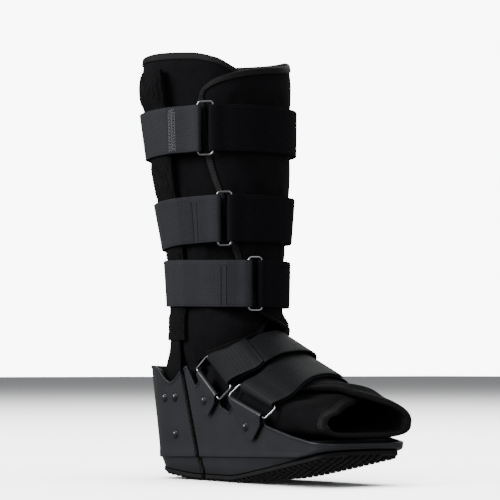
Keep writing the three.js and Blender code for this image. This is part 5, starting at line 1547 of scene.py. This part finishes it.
class BOOT_OT_tabs(bpy.types.Operator):
    """Folds the two plastic tabs on the outer side round the bars of the foot rings"""

    bl_idname = "boot.tabs"
    bl_label = "Tabs"

    def execute(self, context):
        for name, strap in FOOT_STRAPS.items():
            frame = tab_frame(-1, strap)
            half = frame["length"] / 2
            radius = RING_WIRE + GAP + TAB_PLATE / 2
            down = np.concatenate([np.linspace(TAB_DROP - 7, 16, 6), np.linspace(14, 1, 8)])
            a = np.linspace(0.05, np.pi, 14)
            front = np.linspace(0, 1, 8)[1:]
            v = np.concatenate([down, -radius * np.sin(a), 12 * front, np.linspace(14, TAB_DROP - 1, 12)])
            outside = TAB_FRONT - TAB_PLATE / 2
            w = np.concatenate([
                0 * down + TAB_PLATE / 2, BAR_OUT - radius * np.cos(a),
                lerp(BAR_OUT + radius, outside, ease(front, 0, 1)), np.full(12, outside),
            ])
            point_end = np.sqrt(np.maximum(0, 1 - ((v - (TAB_DROP - 4)).clip(0, 3) / 3) ** 2))
            left = np.interp(v, (3, TAB_DROP - 1), (-half, TAB_POINT - 4.5))
            right = np.interp(v, (6, TAB_DROP - 1), (half, TAB_POINT + 4.5))
            middle, reach = (left + right) / 2, (right - left) / 2 * (0.6 + 0.4 * point_end)
            edges = [on_tab(frame, middle + sign * reach, v, w) for sign in (-1, 1)]
            tab, _, _ = ribbon(f"ring_tab_{name}", *edges, TAB_PLATE, across=9)
            settle(tab, "Tab plastic", "shell", f"tab_{name}")
        return {"FINISHED"}


class BOOT_OT_rings(bpy.types.Operator):
    """Bends the five bright wire rings through their straps and tabs"""

    bl_idname = "boot.rings"
    bl_label = "Rings"

    def execute(self, context):
        sizes = context.scene.boot_sizes
        loops = []
        for strap in LEG_STRAPS.values():
            track = leg_track(strap)
            bars = zip(bar_turns(strap), (WEBBING_THICKNESS, PILE_THICKNESS))
            outer, inner = (track(turn, thick + BAR_ROOM + RING_WIRE, RING_END) for turn, thick in bars)
            loops.append([outer[0], outer[1], inner[1], inner[0]])
        for strap in FOOT_STRAPS.values():
            frame = tab_frame(-1, strap)
            half = frame["length"] / 2 + FOOT_RING_END
            front, rear = foot_track(strap)(0, FOOT_STRAP_THICKNESS + BAR_ROOM + RING_WIRE, FOOT_RING_END)
            loops.append([on_tab(frame, -half, 0, BAR_OUT), on_tab(frame, half, 0, BAR_OUT), front, rear])
        group = wire_tree()
        rings = polylines("wire_rings", loops, loop=True)
        given = {"Wire_Radius": sizes.wire_radius, "Corner_Radius": sizes.corner_radius}
        grown(rings, group, Material=finish_of("Ring steel"), **given)
        nodes = [f"ring_{name}" for name in (*LEG_STRAPS, *FOOT_STRAPS)]
        settle(rings, "Ring steel", "ring", *nodes)
        return {"FINISHED"}


class BOOT_OT_rivets(bpy.types.Operator):
    """Sets the domed rivets through the shell, the tabs and the straps"""

    bl_idname = "boot.rivets"
    bl_label = "Rivets"

    def execute(self, context):
        places, aims = [], []
        tilt = math.atan(SHELL_FLARE / (SHELL_HEIGHT - FLOOR_AT_HEEL))
        for side in SIDES.values():
            for along, up in UPRIGHT_RIVETS:
                y, z = along * BOOT_LENGTH, up * SHELL_HEIGHT
                places.append((side * float(shell_side(y, z)), y, z))
                aims.append((side * math.cos(tilt), 0, -math.sin(tilt)))
        for strap in FOOT_STRAPS.values():
            for side, out in ((-1, TAB_FRONT), (1, FOOT_STRAP_THICKNESS + 0.5)):
                frame = tab_frame(side, strap)
                places.append(on_tab(frame, TAB_RIVET[0], TAB_RIVET[1], out))
                aims.append(frame["out"])
        a = np.radians(np.linspace(0, 90, 8))
        dome = [(RIVET_HEAD * 0.93 * math.cos(t), 0.75 + (RIVET_DOME - 0.35) * math.sin(t)) for t in a]
        rim = [(0, -0.6), (RIVET_HEAD, -0.6), (RIVET_HEAD + 0.3, 0.1), (RIVET_HEAD + 0.1, 0.6)]
        shape = lathe("rivet_shape", [*rim, *dome[:-1], (0, dome[-1][1])], 28)
        group = bpy.data.node_groups.get("Standing shapes") or standing_tree()
        metal = finish_of("Rivet metal")
        heads = grown(spots("rivet_heads", places, aims), group, Shape=shape, Material=metal)
        bpy.data.objects.remove(shape)
        kinds = ("upright_rear", "upright_front", "upright_low", "instep", "forefoot")
        nodes = [f"rivet_{kind}_{side}" for kind in kinds for side in SIDES]
        settle(heads, "Rivet metal", "rivet", *nodes)
        return {"FINISHED"}


class BOOT_OT_stage(bpy.types.Operator):
    """Sets the pale floor, the soft studio light and the camera"""

    bl_idname = "boot.stage"
    bl_label = "Stage"

    def execute(self, context):
        scene = context.scene
        mesh = bpy.data.meshes.new("studio_floor")
        corners = [(x, y, -0.0004) for x, y in ((-30, -30), (30, -30), (30, 30), (-30, 30))]
        mesh.from_pydata(corners, [], [(0, 1, 2, 3)])
        floor = bpy.data.objects.new("studio_floor", mesh)
        scene.collection.objects.link(floor)
        floor.data.materials.append(finish_of("Pale floor"))
        floor.visible_diffuse = floor.visible_glossy = False
        on_floor = bpy.data.collections.new("lit_floor")
        on_floor.objects.link(floor)
        lights = (
            ("key", (-2.15, 0.8, 1.25), 1.3, 56),
            ("front", (-0.7, -2.5, 1.2), 2.2, 15),
            ("top", (0.2, 0.4, 2.6), 2.0, 9),
            ("rear", (1.9, 1.2, 1.4), 1.6, 9),
            ("floor", (0.0, 0.0, 4.0), 6.0, 1500),
        )
        for name, place, width, power in lights:
            lamp = bpy.data.lights.new(name, "AREA")
            lamp.size, lamp.energy = width, power
            light = bpy.data.objects.new(name, lamp)
            light.location = place
            aim = mathutils.Vector((0, 0, 0.2)) - light.location
            light.rotation_euler = aim.to_track_quat("-Z", "Y").to_euler()
            scene.collection.objects.link(light)
            if name == "floor":
                light.light_linking.receiver_collection = on_floor
        world = bpy.data.worlds.new("studio")
        world.use_nodes = True
        nodes, links = world.node_tree.nodes, world.node_tree.links
        sky = nodes["Background"]
        sky.inputs["Color"].default_value = (0.975, 0.988, 1, 1)
        seen = nodes.new("ShaderNodeMapRange")
        seen.inputs["To Min"].default_value, seen.inputs["To Max"].default_value = 0.25, 9.0
        links.new(nodes.new("ShaderNodeLightPath").outputs["Is Camera Ray"], seen.inputs["Value"])
        links.new(seen.outputs[0], sky.inputs["Strength"])
        scene.world = world
        lens = bpy.data.cameras.new("camera")
        lens.lens, lens.sensor_width, lens.sensor_fit = 157.32, 36, "HORIZONTAL"
        lens.clip_end = 100
        camera = bpy.data.objects.new("camera", lens)
        camera.location = (-1.482, -1.758, 0.115)
        camera.rotation_euler = (math.radians(93.15), 0, math.radians(-40))
        scene.collection.objects.link(camera)
        scene.camera = camera
        return {"FINISHED"}


OPERATORS = (
    BOOT_OT_shell, BOOT_OT_sole, BOOT_OT_insole, BOOT_OT_leg_liner, BOOT_OT_foot_liner, BOOT_OT_uprights,
    BOOT_OT_leg_straps, BOOT_OT_foot_straps, BOOT_OT_tabs, BOOT_OT_rings, BOOT_OT_rivets, BOOT_OT_stage,
)


class BOOT_PT_pieces(bpy.types.Panel):
    """The boot's pieces, sizes and colours"""

    bl_label = "Walking boot"
    bl_space_type = "VIEW_3D"
    bl_region_type = "UI"
    bl_category = "Boot"

    def draw(self, context):
        for operator in OPERATORS:
            self.layout.operator(operator.bl_idname)
        for group in (context.scene.boot_sizes, context.scene.boot_colours):
            column = self.layout.column()
            for name in group.bl_rna.properties.keys():
                if name not in ("rna_type", "name"):
                    column.prop(group, name)


CLASSES = (BootSizes, BootColours, *OPERATORS, BOOT_PT_pieces)


def register():
    for item in CLASSES:
        bpy.utils.register_class(item)
    bpy.types.Scene.boot_sizes = bpy.props.PointerProperty(type=BootSizes)
    bpy.types.Scene.boot_colours = bpy.props.PointerProperty(type=BootColours)


def unregister():
    del bpy.types.Scene.boot_colours
    del bpy.types.Scene.boot_sizes
    for item in reversed(CLASSES):
        bpy.utils.unregister_class(item)


def main():
    register()
    for operator in OPERATORS:
        group, name = operator.bl_idname.split(".")
        getattr(getattr(bpy.ops, group), name)()


if __name__ == "__main__":
    main()
